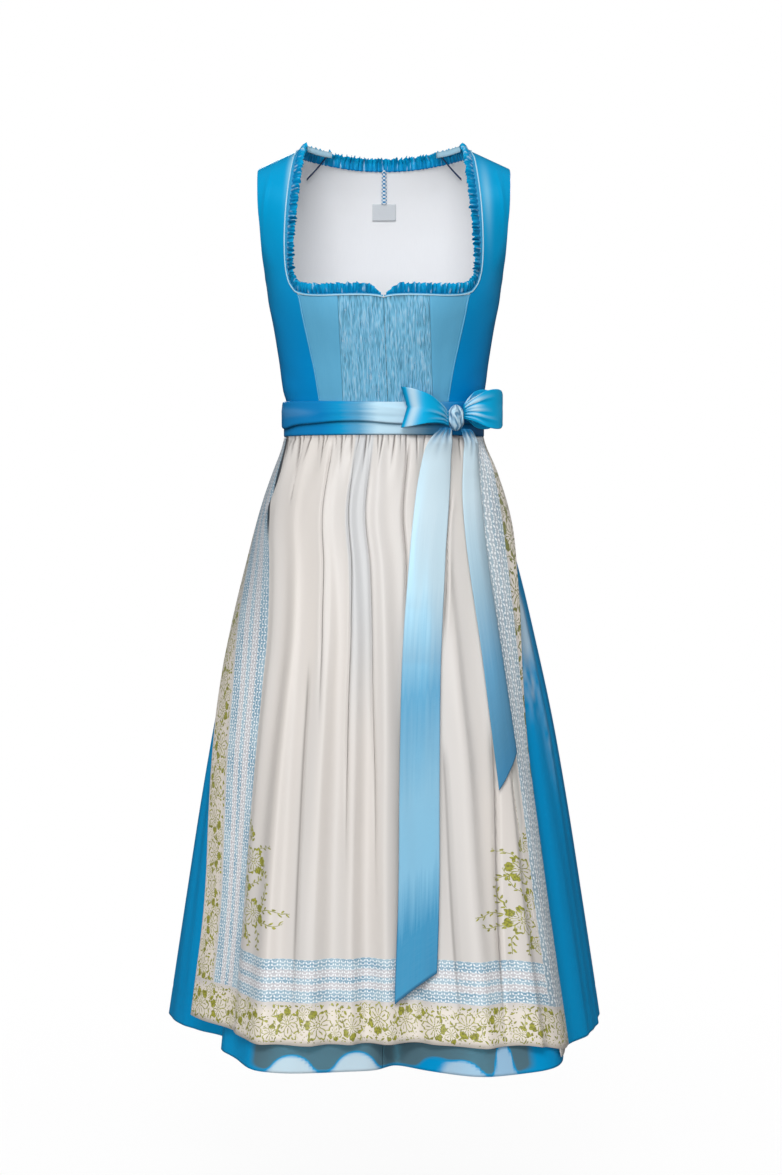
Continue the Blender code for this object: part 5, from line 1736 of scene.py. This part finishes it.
def apron_x(k, height):
    """The flat cloth's place of column k: it follows the turned edge as that moves."""
    side = 2 * BORDER_WIDTH
    if k <= LEFT_COLUMNS:
        return side * k / LEFT_COLUMNS
    k -= LEFT_COLUMNS
    if k <= MIDDLE_COLUMNS:
        return side + (APRON_WIDTH - 2 * side) * k / MIDDLE_COLUMNS
    k -= MIDDLE_COLUMNS
    fold_at = APRON_WIDTH - BORDER_WIDTH * (1 - APRON_LINES.at("band_shown", height))
    if k <= BAND_COLUMNS:
        return mix(APRON_WIDTH - side, fold_at, k / BAND_COLUMNS)
    k -= BAND_COLUMNS
    round_it = max(min(math.pi * TURN_RADIUS, (APRON_WIDTH - fold_at) * 0.6), 0.0005)
    if k <= TURN_COLUMNS:
        return fold_at + round_it * k / TURN_COLUMNS
    after = fold_at + round_it
    return mix(after, max(APRON_WIDTH, after + 0.0006), (k - TURN_COLUMNS) / UNDER_COLUMNS)


def apron():
    count = LEFT_COLUMNS + MIDDLE_COLUMNS + BAND_COLUMNS + TURN_COLUMNS + UNDER_COLUMNS

    def at(across, down):
        height = mix(BAND_BOTTOM - SEAM, APRON_HEM, down**1.1)
        cloth_x = apron_x(round(across * count), height)
        height += (apron_hem(cloth_x) - APRON_HEM) * ease(down)
        return cloth_x, height

    places, flat = {}, {}
    for k in range(count + 1):
        above = 0.0
        for row in range(APRON_ROWS, -1, -1):
            cloth_x, height = at(k / count, row / APRON_ROWS)
            places[k, row] = apron_place(cloth_x, height)
            if row < APRON_ROWS:
                above += (places[k, row][0] - places[k, row + 1][0]).length
            flat[k, row] = (cloth_x, above)

    def key(across, down):
        return round(across * count), round(down * APRON_ROWS)

    return cloth("apron_silk", count, APRON_ROWS, lambda a, d: places[key(a, d)],
                 (APRON_WIDTH, APRON_LENGTH), APRON_SILK, APRON_WALL, "apron",
                 APRON_BACK, flat=lambda a, d: flat[key(a, d)])


print("apron", CUTS[apron().name])

# %% [markdown]
# ## The waistband and the wound ribbon
#
# The apron's band lies lowest, and the tie ribbon is wound over it. Wound ribbon is never quite
# level: it rides up on one side and shows a few long pulls that point at the knot.

# %% Waistband and ribbon
WRAP_OUT = BAND_OUT + BAND_WALL + 0.0004
BOW_ANGLE_DEG = 41.0


def waist_place(degrees, height, out):
    """A point round the waist, whose bands stand upright."""
    return oval(TORSO, WAIST, degrees, height, out)


# Long pulls in the wound ribbon: angle and share down at each end, width, out.
WRAP_PULLS = (
    (-100.0, 0.30, -40.0, 0.55, 0.14, 0.0006),
    (-40.0, 0.70, 30.0, 0.62, 0.09, -0.0006),
    (-10.0, 0.20, 38.0, 0.50, 0.10, 0.0008),
    (10.0, 0.86, 40.0, 0.60, 0.07, 0.0008),
    (45.0, 0.50, 100.0, 0.30, 0.10, 0.0011),
)


WRAP_EDGE = Table(
    "degrees height top",
    (-180.0, -0.3940, -0.3548), (-125.0, -0.3930, -0.3550), (-95.0, -0.3905, -0.3555),
    (-75.0, -0.3945, -0.3562), (-58.0, -0.3905, -0.3570), (-42.0, -0.3888, -0.3578),
    (-26.0, -0.3866, -0.3588), (-11.0, -0.3868, -0.3597), (7.0, -0.3902, -0.3602),
    (30.0, -0.3905, -0.3598), (60.0, -0.3880, -0.3572), (95.0, -0.3905, -0.3558),
    (125.0, -0.3930, -0.3550), (180.0, -0.3940, -0.3548),
)


def wrap_pull(degrees, down):
    rows = [((a + 180) / 360, b, (c + 180) / 360, d, w, o) for a, b, c, d, w, o in WRAP_PULLS]
    total = 0.0
    for x1, y1, x2, y2, width, out in rows:
        t = ((degrees + 180) / 360 - x1) / (x2 - x1)
        if -0.2 < t < 1.2:
            away = down - mix(y1, y2, t)
            total += out * bell(away, width) * ease(1.2 - abs(2 * t - 1))
    return total


def waistband():
    first = APRON_LINES.at("left_edge", BAND_BOTTOM)
    last = APRON_LINES.at("right_fold", BAND_BOTTOM)

    def place(across, down):
        degrees = mix(first, last, across)
        roll = turned_edge((1 - down) * (BAND_TOP - BAND_BOTTOM), 0.0010, 0.0030)
        height = mix(BAND_TOP, BAND_BOTTOM, down)
        # Painted shadow under the wound ribbon's lower edge, and painted shade along the band's
        # bottom.
        shade = 1.0 * hill(height - WRAP_EDGE.at("height", degrees), 0.0030, 0.0100)
        shade += 0.5 * bell(1 - down, 0.05)
        return waist_place(degrees, height, BAND_OUT + roll), clamp(shade)

    def flat(across, down):
        return (mix(first, last, across) + 180) / 360 * WRAP_LENGTH, (1 - down) * BAND_CUT[1]

    return cloth("apron_waistband_cloth", 240, 30, place, BAND_CUT, WRAP_RIBBON,
                 BAND_WALL, "apron_waistband", flat=flat)


def tie_wrap():
    def place(across, down):
        degrees = 360.0 * across - 180.0
        behind = ease((abs(degrees) - 95) / 40)
        edges = turned_edge(min(down, 1 - down) * 0.032, 0.0008, 0.0030)
        swell = 0.0006 * math.sin(math.pi * down)
        pull = wrap_pull(degrees, down) * (1 - behind)
        out = WRAP_OUT + 0.0012 * down + edges + swell + pull
        # Painted highlights on raised pulls, painted shade in sunken ones and along the lower edge.
        shade = clamp(-pull / 0.0030, -0.10, 0.4) + 0.8 * bell(1 - down, 0.06)
        height = mix(WRAP_EDGE.at("top", degrees), WRAP_EDGE.at("height", degrees), down)
        return waist_place(degrees, height, out), clamp(shade, -1)

    return cloth("tie_wrap_ribbon", 300, 26, place, (WRAP_LENGTH, WRAP_WIDTH), WRAP_RIBBON,
                 BAND_WALL, "tie_wrap", ring=True)


def wrap_tones():
    """The waist ribbon's painted light: deep at the sides, a pale highlight over the front."""
    finish = Finish("tie ribbon waist", 0.42, **GLOSS)
    across, along = finish.cloth_xy()
    streaks = finish.grain(across * 8.0, along * 260.0, 2.0, 0.6)
    threads = finish.grain(across * 1800.0, along * 60.0)
    place = across / WRAP_LENGTH + (streaks - 0.5) * 0.03
    tone = finish.node("ShaderNodeValToRGB", {"stops": WRAP_TONES}, {"Fac": place})
    tone = finish.blend(streaks * 0.015, tone, ICE)
    finish.colour(finish.painted_shading(tone, (0.0004, 0.05, 0.12), linear(206, 230, 242)))
    finish.set("Roughness", 0.42 + (streaks - 0.5) * 0.16)
    finish.bump(threads + streaks * 1.5, THREAD_DEPTH, 0.5)
    return finish.material


# Painted light round the waist: navy behind, deep at the sides, a pale highlight over the front.
WRAP_TONES = (
    (0.0, NAVY_BLUE), (0.22, DEEP), (0.395, DEEP), (0.43, (0.0005, 0.29, 0.60)), (0.462, SKY),
    (0.49, ICE), (0.535, ICE), (0.575, SKY), (0.62, DEEP), (0.68, NAVY_BLUE),
)

WRAP_RIBBON = wrap_tones()
print("waistband", CUTS[waistband().name], "wound ribbon", CUTS[tie_wrap().name])

# %% [markdown]
# ## The bow
#
# A bow is one ribbon: each loop leaves the knot narrow and pleated, opens, folds over at its end
# and comes back behind. The loop's chart runs round that fold. Pleats fan out from the knot and
# die away towards the fold, and the knot itself is a short wrap of creased ribbon.

# %% Loops and knot
WAIST_CURVE, KNOT_HEIGHT, KNOT_STAND = 0.122, -0.3815, 0.0003
KNOT_HALF = (0.0115, 0.0105, 0.0180)

LOOPS = {
    "bow_loop_right": Table(
        "share along off puff half_height middle lean",
        (0.00, -0.0107, 0.0105, 0.0000, 0.0090, -0.0020, 0.000),
        (0.20, -0.0200, 0.0115, 0.0075, 0.0120, 0.0040, 0.001),
        (0.50, -0.0370, 0.0130, 0.0110, 0.0190, 0.0110, 0.003),
        (0.80, -0.0500, 0.0115, 0.0100, 0.0250, 0.0130, 0.010),
        (1.00, -0.0600, 0.0080, 0.0070, 0.0280, 0.0135, 0.014),
    ),
    "bow_loop_left": Table(
        "share along off puff half_height middle lean",
        (0.00, 0.0108, 0.0105, 0.0000, 0.0085, 0.0080, 0.000),
        (0.20, 0.0220, 0.0120, 0.0090, 0.0165, 0.0120, 0.000),
        (0.45, 0.0370, 0.0160, 0.0125, 0.0255, 0.0130, 0.000),
        (0.75, 0.0560, 0.0210, 0.0130, 0.0268, 0.0130, 0.001),
        (1.00, 0.0700, 0.0260, 0.0110, 0.0170, 0.0120, 0.001),
    ),
}

# Pleats that fan out of the knot, for each loop, and the painted highlight where each loop turns
# over.
LOOP_PLEATS = {
    # share down at the knot, share down at the foot, reach, depth, width
    "bow_loop_right": (
        (0.20, 0.06, 0.55, 0.0024, 0.06), (0.44, 0.40, 0.40, 0.0026, 0.06),
        (0.64, 0.70, 0.72, 0.0026, 0.06), (0.84, 0.98, 0.62, 0.0020, 0.06),
    ),
    "bow_loop_left": (
        (0.14, 0.02, 0.45, 0.0022, 0.05), (0.32, 0.26, 0.66, 0.0034, 0.06),
        (0.46, 0.48, 0.42, 0.0024, 0.05), (0.58, 0.66, 0.60, 0.0032, 0.06),
        (0.74, 0.88, 0.76, 0.0030, 0.06), (0.90, 1.02, 0.50, 0.0020, 0.05),
    ),
}
LOOP_FOLDS = {
    # share of the loop where the fold's painted highlight lies at the top and at the foot, width,
    # strength
    "bow_loop_right": (0.83, 0.90, 0.110, 1.0),
    "bow_loop_left": (0.20, 0.24, 0.110, 0.8),
}


def bow_loop(name, table):
    leftwards = table.values["along"][-1] < 0

    def place(across, down):
        around = across if leftwards else 1 - across
        angle = mix(0.12, 2 * math.pi - 0.12, around)
        share = math.sin(angle / 2) ** 2
        puff = table.at("puff", share) * math.sin(angle)
        off = table.at("off", share) + puff * (1.0 if puff > 0 else 0.55)
        # Painted highlight on the fold, painted shade at the loop's turn, at the knot and in the
        # pleats.
        high, low, spread, highlight_strength = LOOP_FOLDS[name]
        shade = -highlight_strength * bell(share - mix(high, low, down), spread)
        shade *= ease(2.2 - 2.2 * down * (high < 0.5))
        shade += 0.9 * bell(share - 1, 0.07) + 0.7 * bell(share, 0.05)
        for at_knot, at_foot, reach, depth, width in LOOP_PLEATS[name]:
            strength = ease(share / 0.06) * (1 - ease(share / reach))
            distance = down - mix(at_knot, at_foot, clamp(share / reach))
            fold = strength * bell(distance, width)
            off -= depth * fold * math.copysign(1, math.sin(angle))
            shade += depth / 0.0022 * (fold - 0.6 * strength * bell(distance + 1.6 * width, width))
        off += 0.0008 * waver(around * 5, down * 2.5, 4.0) * ease(share / 0.2)
        along = table.at("along", share)
        along += math.copysign(table.at("lean", share) * (down - 0.5), along)
        degrees = BOW_ANGLE_DEG + math.degrees(along / WAIST_CURVE)
        height = KNOT_HEIGHT + table.at("middle", share)
        height += mix(1, -1, down) * table.at("half_height", share)
        return waist_place(degrees, height, WRAP_OUT + KNOT_STAND + off), clamp(shade, -1)

    def flat(across, down):
        return down * LOOP_CUT[1], abs(2 * across - 1) * LOOP_CUT[0] / 2

    return cloth(f"{name}_ribbon", 120, 36, place, LOOP_CUT, BOW_RIBBON, RIBBON_WALL,
                 name, flat=flat, folded=2.0)


def bow_knot():
    stand = WRAP_OUT + KNOT_STAND + KNOT_HALF[1]
    middle = waist_place(BOW_ANGLE_DEG, KNOT_HEIGHT, stand)
    out = (waist_place(BOW_ANGLE_DEG, KNOT_HEIGHT, stand + 1) - middle).normalized()
    along = Vector((-out.y, out.x, 0))
    bm = bmesh.new()
    layer = bm.loops.layers.uv.new("cloth")
    shade = bm.verts.layers.float.new("shade")
    bmesh.ops.create_uvsphere(bm, u_segments=96, v_segments=48, radius=1.0, calc_uvs=True)
    for vert in bm.verts:
        x, y, z = vert.co
        turn = math.atan2(y, x)
        bent = turn + 0.35 * math.sin(2.2 * z + 1.0)
        bent += 0.5 * waver(x * 1.6, y * 1.6, z * 1.6)
        folds = 0.085 * math.sin(6 * bent + 2.6 * z) + 0.045 * math.sin(13 * bent - 3.5 * z)
        crease = 1 + (folds + 0.05 * waver(x * 3, y * 3, z * 3)) * (1 - z * z)
        # Painted shade in the knot's folds and painted highlights on their crests.
        vert[shade] = clamp(-9.0 * folds + 0.1, -1)
        waist_in = 1 - 0.10 * bell(z, 0.35)
        point = along * (x * KNOT_HALF[0] * waist_in) + out * (-y * KNOT_HALF[1])
        vert.co = middle + point * crease + Vector((0, 0, z * KNOT_HALF[2]))
    for face in bm.faces:
        for loop in face.loops:
            loop[layer].uv = (loop[layer].uv.x * 0.06, loop[layer].uv.y * 0.05)
    bmesh.ops.recalc_face_normals(bm, faces=bm.faces)
    return finish_piece("bow_knot_ribbon", bm, "bow_knot", KNOT_RIBBON)


for name, table in LOOPS.items():
    print(name, CUTS[bow_loop(name, table).name])
print("knot faces:", len(bow_knot().data.polygons))

# %% [markdown]
# ## The ribbon tails
#
# Two tails hang from the knot over the apron. Each leaves the knot pleated and narrow, spreads to
# its full width, and ends in a slanted cut. They follow the apron's folds only loosely, as ribbon
# bridges from crest to crest.

# %% Tails
LONG_TAIL = Table(
    "height x half_width off turn",
    (-0.3950, 0.0815, 0.0070, 0.0135, 0.000),
    (-0.4125, 0.0745, 0.0154, 0.0130, 0.003),
    (-0.4380, 0.0712, 0.0198, 0.0080, 0.003),
    (-0.4900, 0.0668, 0.0235, 0.0035, 0.002),
    (-0.5700, 0.0585, 0.0240, 0.0020, 0.000),
    (-0.7000, 0.0487, 0.0242, 0.0020, 0.000),
    (-0.8600, 0.0446, 0.0242, 0.0020, 0.000),
    (-1.0000, 0.0430, 0.0242, 0.0020, 0.000),
    (-1.1200, 0.0385, 0.0242, 0.0020, 0.000),
)
SHORT_TAIL = Table(
    "height x half_width off turn",
    (-0.3962, 0.1069, 0.0070, 0.0138, 0.000),
    (-0.4125, 0.1130, 0.0098, 0.0140, 0.004),
    (-0.4400, 0.1158, 0.0122, 0.0110, 0.006),
    (-0.4900, 0.1190, 0.0145, 0.0075, 0.005),
    (-0.5700, 0.1240, 0.0148, 0.0060, 0.004),
    (-0.7000, 0.1350, 0.0145, 0.0050, 0.003),
    (-0.7700, 0.1400, 0.0142, 0.0040, 0.002),
    (-0.8800, 0.1480, 0.0140, 0.0030, 0.001),
)
LONG_TAIL_END = (-1.138, -1.098)
SHORT_TAIL_END = (-0.872, -0.826)

TAIL_PLEATS = (
    # side at the knot, side where it fades, length, depth, width
    (-0.55, -0.75, 0.036, 0.0018, 0.22),
    (0.00, -0.10, 0.050, 0.0024, 0.20),
    (0.50, 0.55, 0.040, 0.0018, 0.20),
)


def ribbon_tail(name, table, ends, length, outside):
    top = table.keys[-1]

    def place(across, down):
        height = mix(top, mix(ends[0], ends[1], across), down**1.3)
        side = mix(-1, 1, across)
        middle_x, half = table.at("x", height), table.at("half_width", height)
        wide = SKIRT.at("half_width", height)

        def degrees_at(x):
            return math.degrees(math.asin(clamp(x / (wide + 0.008), -1, 1)))

        crests = []
        for k in range(-4, 5):
            under = middle_share(degrees_at(middle_x + half * k / 3.4), height)
            crests.append(apron_lift(under, height))
        off = max(crests) + RIBBON_WALL + table.at("off", height)
        off += 0.0012 * (1 - side * side) - table.at("turn", height) * max(0.0, side) ** 2
        below = top - height
        # Painted shade under the knot and in the pleats.
        shade = 0.9 * bell(below, 0.016) * abs(math.sin(3.5 * side + len(name)))
        for at_knot, at_foot, reach, depth, width in TAIL_PLEATS:
            strength = (1 - ease(below / reach)) * ease(below / 0.004)
            fold = bell(side - mix(at_knot, at_foot, clamp(below / reach)), width)
            off += depth * strength * (0.5 - fold)
            shade += 0.5 * strength * fold
        off += 0.0011 * waver(side * 1.2, height * 7, len(name)) * ease(below / 0.1)
        degrees = degrees_at(middle_x + side * half)
        return form(degrees, height, fold_out(degrees, height, True) + off), clamp(shade)

    return cloth(f"{name}_ribbon", 36, 190, place, (TAIL_WIDTH, length), outside,
                 RIBBON_WALL, name, flat=lambda a, d: (a * TAIL_WIDTH, d * length))


for row in (
    ("ribbon_tail_long", LONG_TAIL, LONG_TAIL_END, 0.76, TAIL_RIBBON),
    ("ribbon_tail_short", SHORT_TAIL, SHORT_TAIL_END, 0.50, SHORT_RIBBON),
):
    print(row[0], CUTS[ribbon_tail(*row).name])

# %% [markdown]
# ## Floor, light and camera
#
# Product light is broad and white. A large softbox high in front and a strip at eye height give
# satin its pale bands, four cards that show only in the gloss draw the hem, the straps and one
# side, a softbox lights the back, and the pale room fills the rest. The camera stands level with
# the skirt's top and looks slightly down.

# %% Floor, lights and camera
FLOOR_HEIGHT, FLOOR_RADIUS = -1.50, 7.0
ROOM_BRIGHTNESS, ROOM_REFLECTED, ROOM_BELOW = 0.56, 0.02, 0.45
CAMERA_PLACE, CAMERA_DOWN_DEG, LENS_MM, SENSOR_MM = (0.010, -2.75, -0.494), 2.587, 59.33, 36.0

SOFTBOXES = (
    # name, place, target, width, height, watts, shows only in the gloss
    ("strip at eye height", (-0.75, -3.3, -0.30), (0, 0, -0.40), 1.8, 0.28, 26, False),
    ("high softbox", (-0.15, -2.8, 1.45), (0, 0, -0.55), 1.5, 0.9, 58, False),
    ("low card", (-0.05, -3.2, -1.14), (0, 0, -1.18), 1.3, 0.34, 20, True),
    ("right card", (2.1, 1.9, 0.85), (0.2, 0, -0.62), 0.30, 0.80, 16, True),
    ("left strap card", (-2.6, -1.5, 1.5), (-0.15, 0, -0.12), 0.30, 1.0, 4, True),
    ("right strap card", (2.6, -1.3, 1.5), (0.15, 0, -0.12), 0.30, 1.0, 5, True),
    ("back softbox", (-0.6, 3.2, 0.8), (0, 0, -0.5), 1.6, 1.2, 30, False),
)


def floor():
    bm = bmesh.new()
    bmesh.ops.create_circle(bm, segments=96, radius=FLOOR_RADIUS, cap_ends=True)
    bmesh.ops.translate(bm, verts=bm.verts, vec=(0, 0, FLOOR_HEIGHT))
    mesh = bpy.data.meshes.new("floor")
    bm.to_mesh(mesh)
    bm.free()
    finish = Finish("pale floor", 0.9)
    finish.shader.inputs["Base Color"].default_value = (0.90, 0.90, 0.90, 1)
    x = finish.object_place()
    y = x.output(1)
    fade = finish.smooth((x * x + y * y) ** 0.5, 0.2, 1.5) * 0.06 + 0.94
    clear = finish.node("ShaderNodeBsdfTransparent", {}, {})
    sockets = {0: fade, 1: Value(finish, finish.shader.outputs[0]), 2: clear}
    mixed = finish.node("ShaderNodeMixShader", {}, sockets)
    output = next(n for n in finish.tree.nodes if n.type == "OUTPUT_MATERIAL")
    finish.tree.links.new(mixed.socket, output.inputs["Surface"])
    mesh.materials.append(finish.material)
    made = bpy.data.objects.new("floor", mesh)
    bpy.context.scene.collection.objects.link(made)


def softbox(name, place, target, width, height, watts, only_gloss):
    """A rectangular light. A card that only shows in the gloss of the cloth lights nothing else."""
    light = bpy.data.lights.new(name, "AREA")
    light.shape = "RECTANGLE"
    light.size, light.size_y, light.energy = width, height, watts
    made = bpy.data.objects.new(name, light)
    made.location = place
    made.rotation_euler = (Vector(target) - Vector(place)).to_track_quat("-Z", "Y").to_euler()
    made.visible_diffuse = not only_gloss
    bpy.context.scene.collection.objects.link(made)


def room(brightness, reflected):
    """A room that lights the cloth from above, is white to the camera and dim in reflections."""
    world = bpy.data.worlds.new("pale room")
    bpy.context.scene.world = world
    world.use_nodes = True
    tree = world.node_tree

    def background(strength):
        made = tree.nodes.new("ShaderNodeBackground")
        made.inputs["Color"].default_value = (1, 1, 1, 1)
        made.inputs["Strength"].default_value = strength
        return made.outputs[0]

    def choose(share, a, b):
        made = tree.nodes.new("ShaderNodeMixShader")
        tree.links.new(share, made.inputs[0])
        tree.links.new(a, made.inputs[1])
        tree.links.new(b, made.inputs[2])
        return made.outputs[0]

    ray = tree.nodes.new("ShaderNodeLightPath")
    where = tree.nodes.new("ShaderNodeTexCoord")
    split = tree.nodes.new("ShaderNodeSeparateXYZ")
    up = tree.nodes.new("ShaderNodeMapRange")
    tree.links.new(where.outputs["Generated"], split.inputs[0])
    tree.links.new(split.outputs[2], up.inputs[0])
    up.inputs[1].default_value, up.inputs[2].default_value = -0.6, 0.8
    lit = choose(up.outputs[0], background(brightness * ROOM_BELOW), background(brightness))
    lit = choose(ray.outputs["Is Glossy Ray"], lit, background(reflected))
    lit = choose(ray.outputs["Is Camera Ray"], lit, background(1.0))
    tree.links.new(lit, tree.nodes["World Output"].inputs["Surface"])


def camera():
    data = bpy.data.cameras.new("camera")
    data.lens, data.sensor_width = LENS_MM, SENSOR_MM
    made = bpy.data.objects.new("camera", data)
    made.location = CAMERA_PLACE
    made.rotation_euler = (math.radians(90 - CAMERA_DOWN_DEG), 0, 0)
    bpy.context.scene.collection.objects.link(made)
    bpy.context.scene.camera = made


floor()
for row in SOFTBOXES:
    softbox(*row)
room(ROOM_BRIGHTNESS, ROOM_REFLECTED)
camera()
bpy.context.scene.view_settings.view_transform = "Standard"

# %% [markdown]
# ## Measure and finish
#
# The flat size and area of every piece's cut are printed.

# %% Sizes
print("flat cuts:", CUTS)
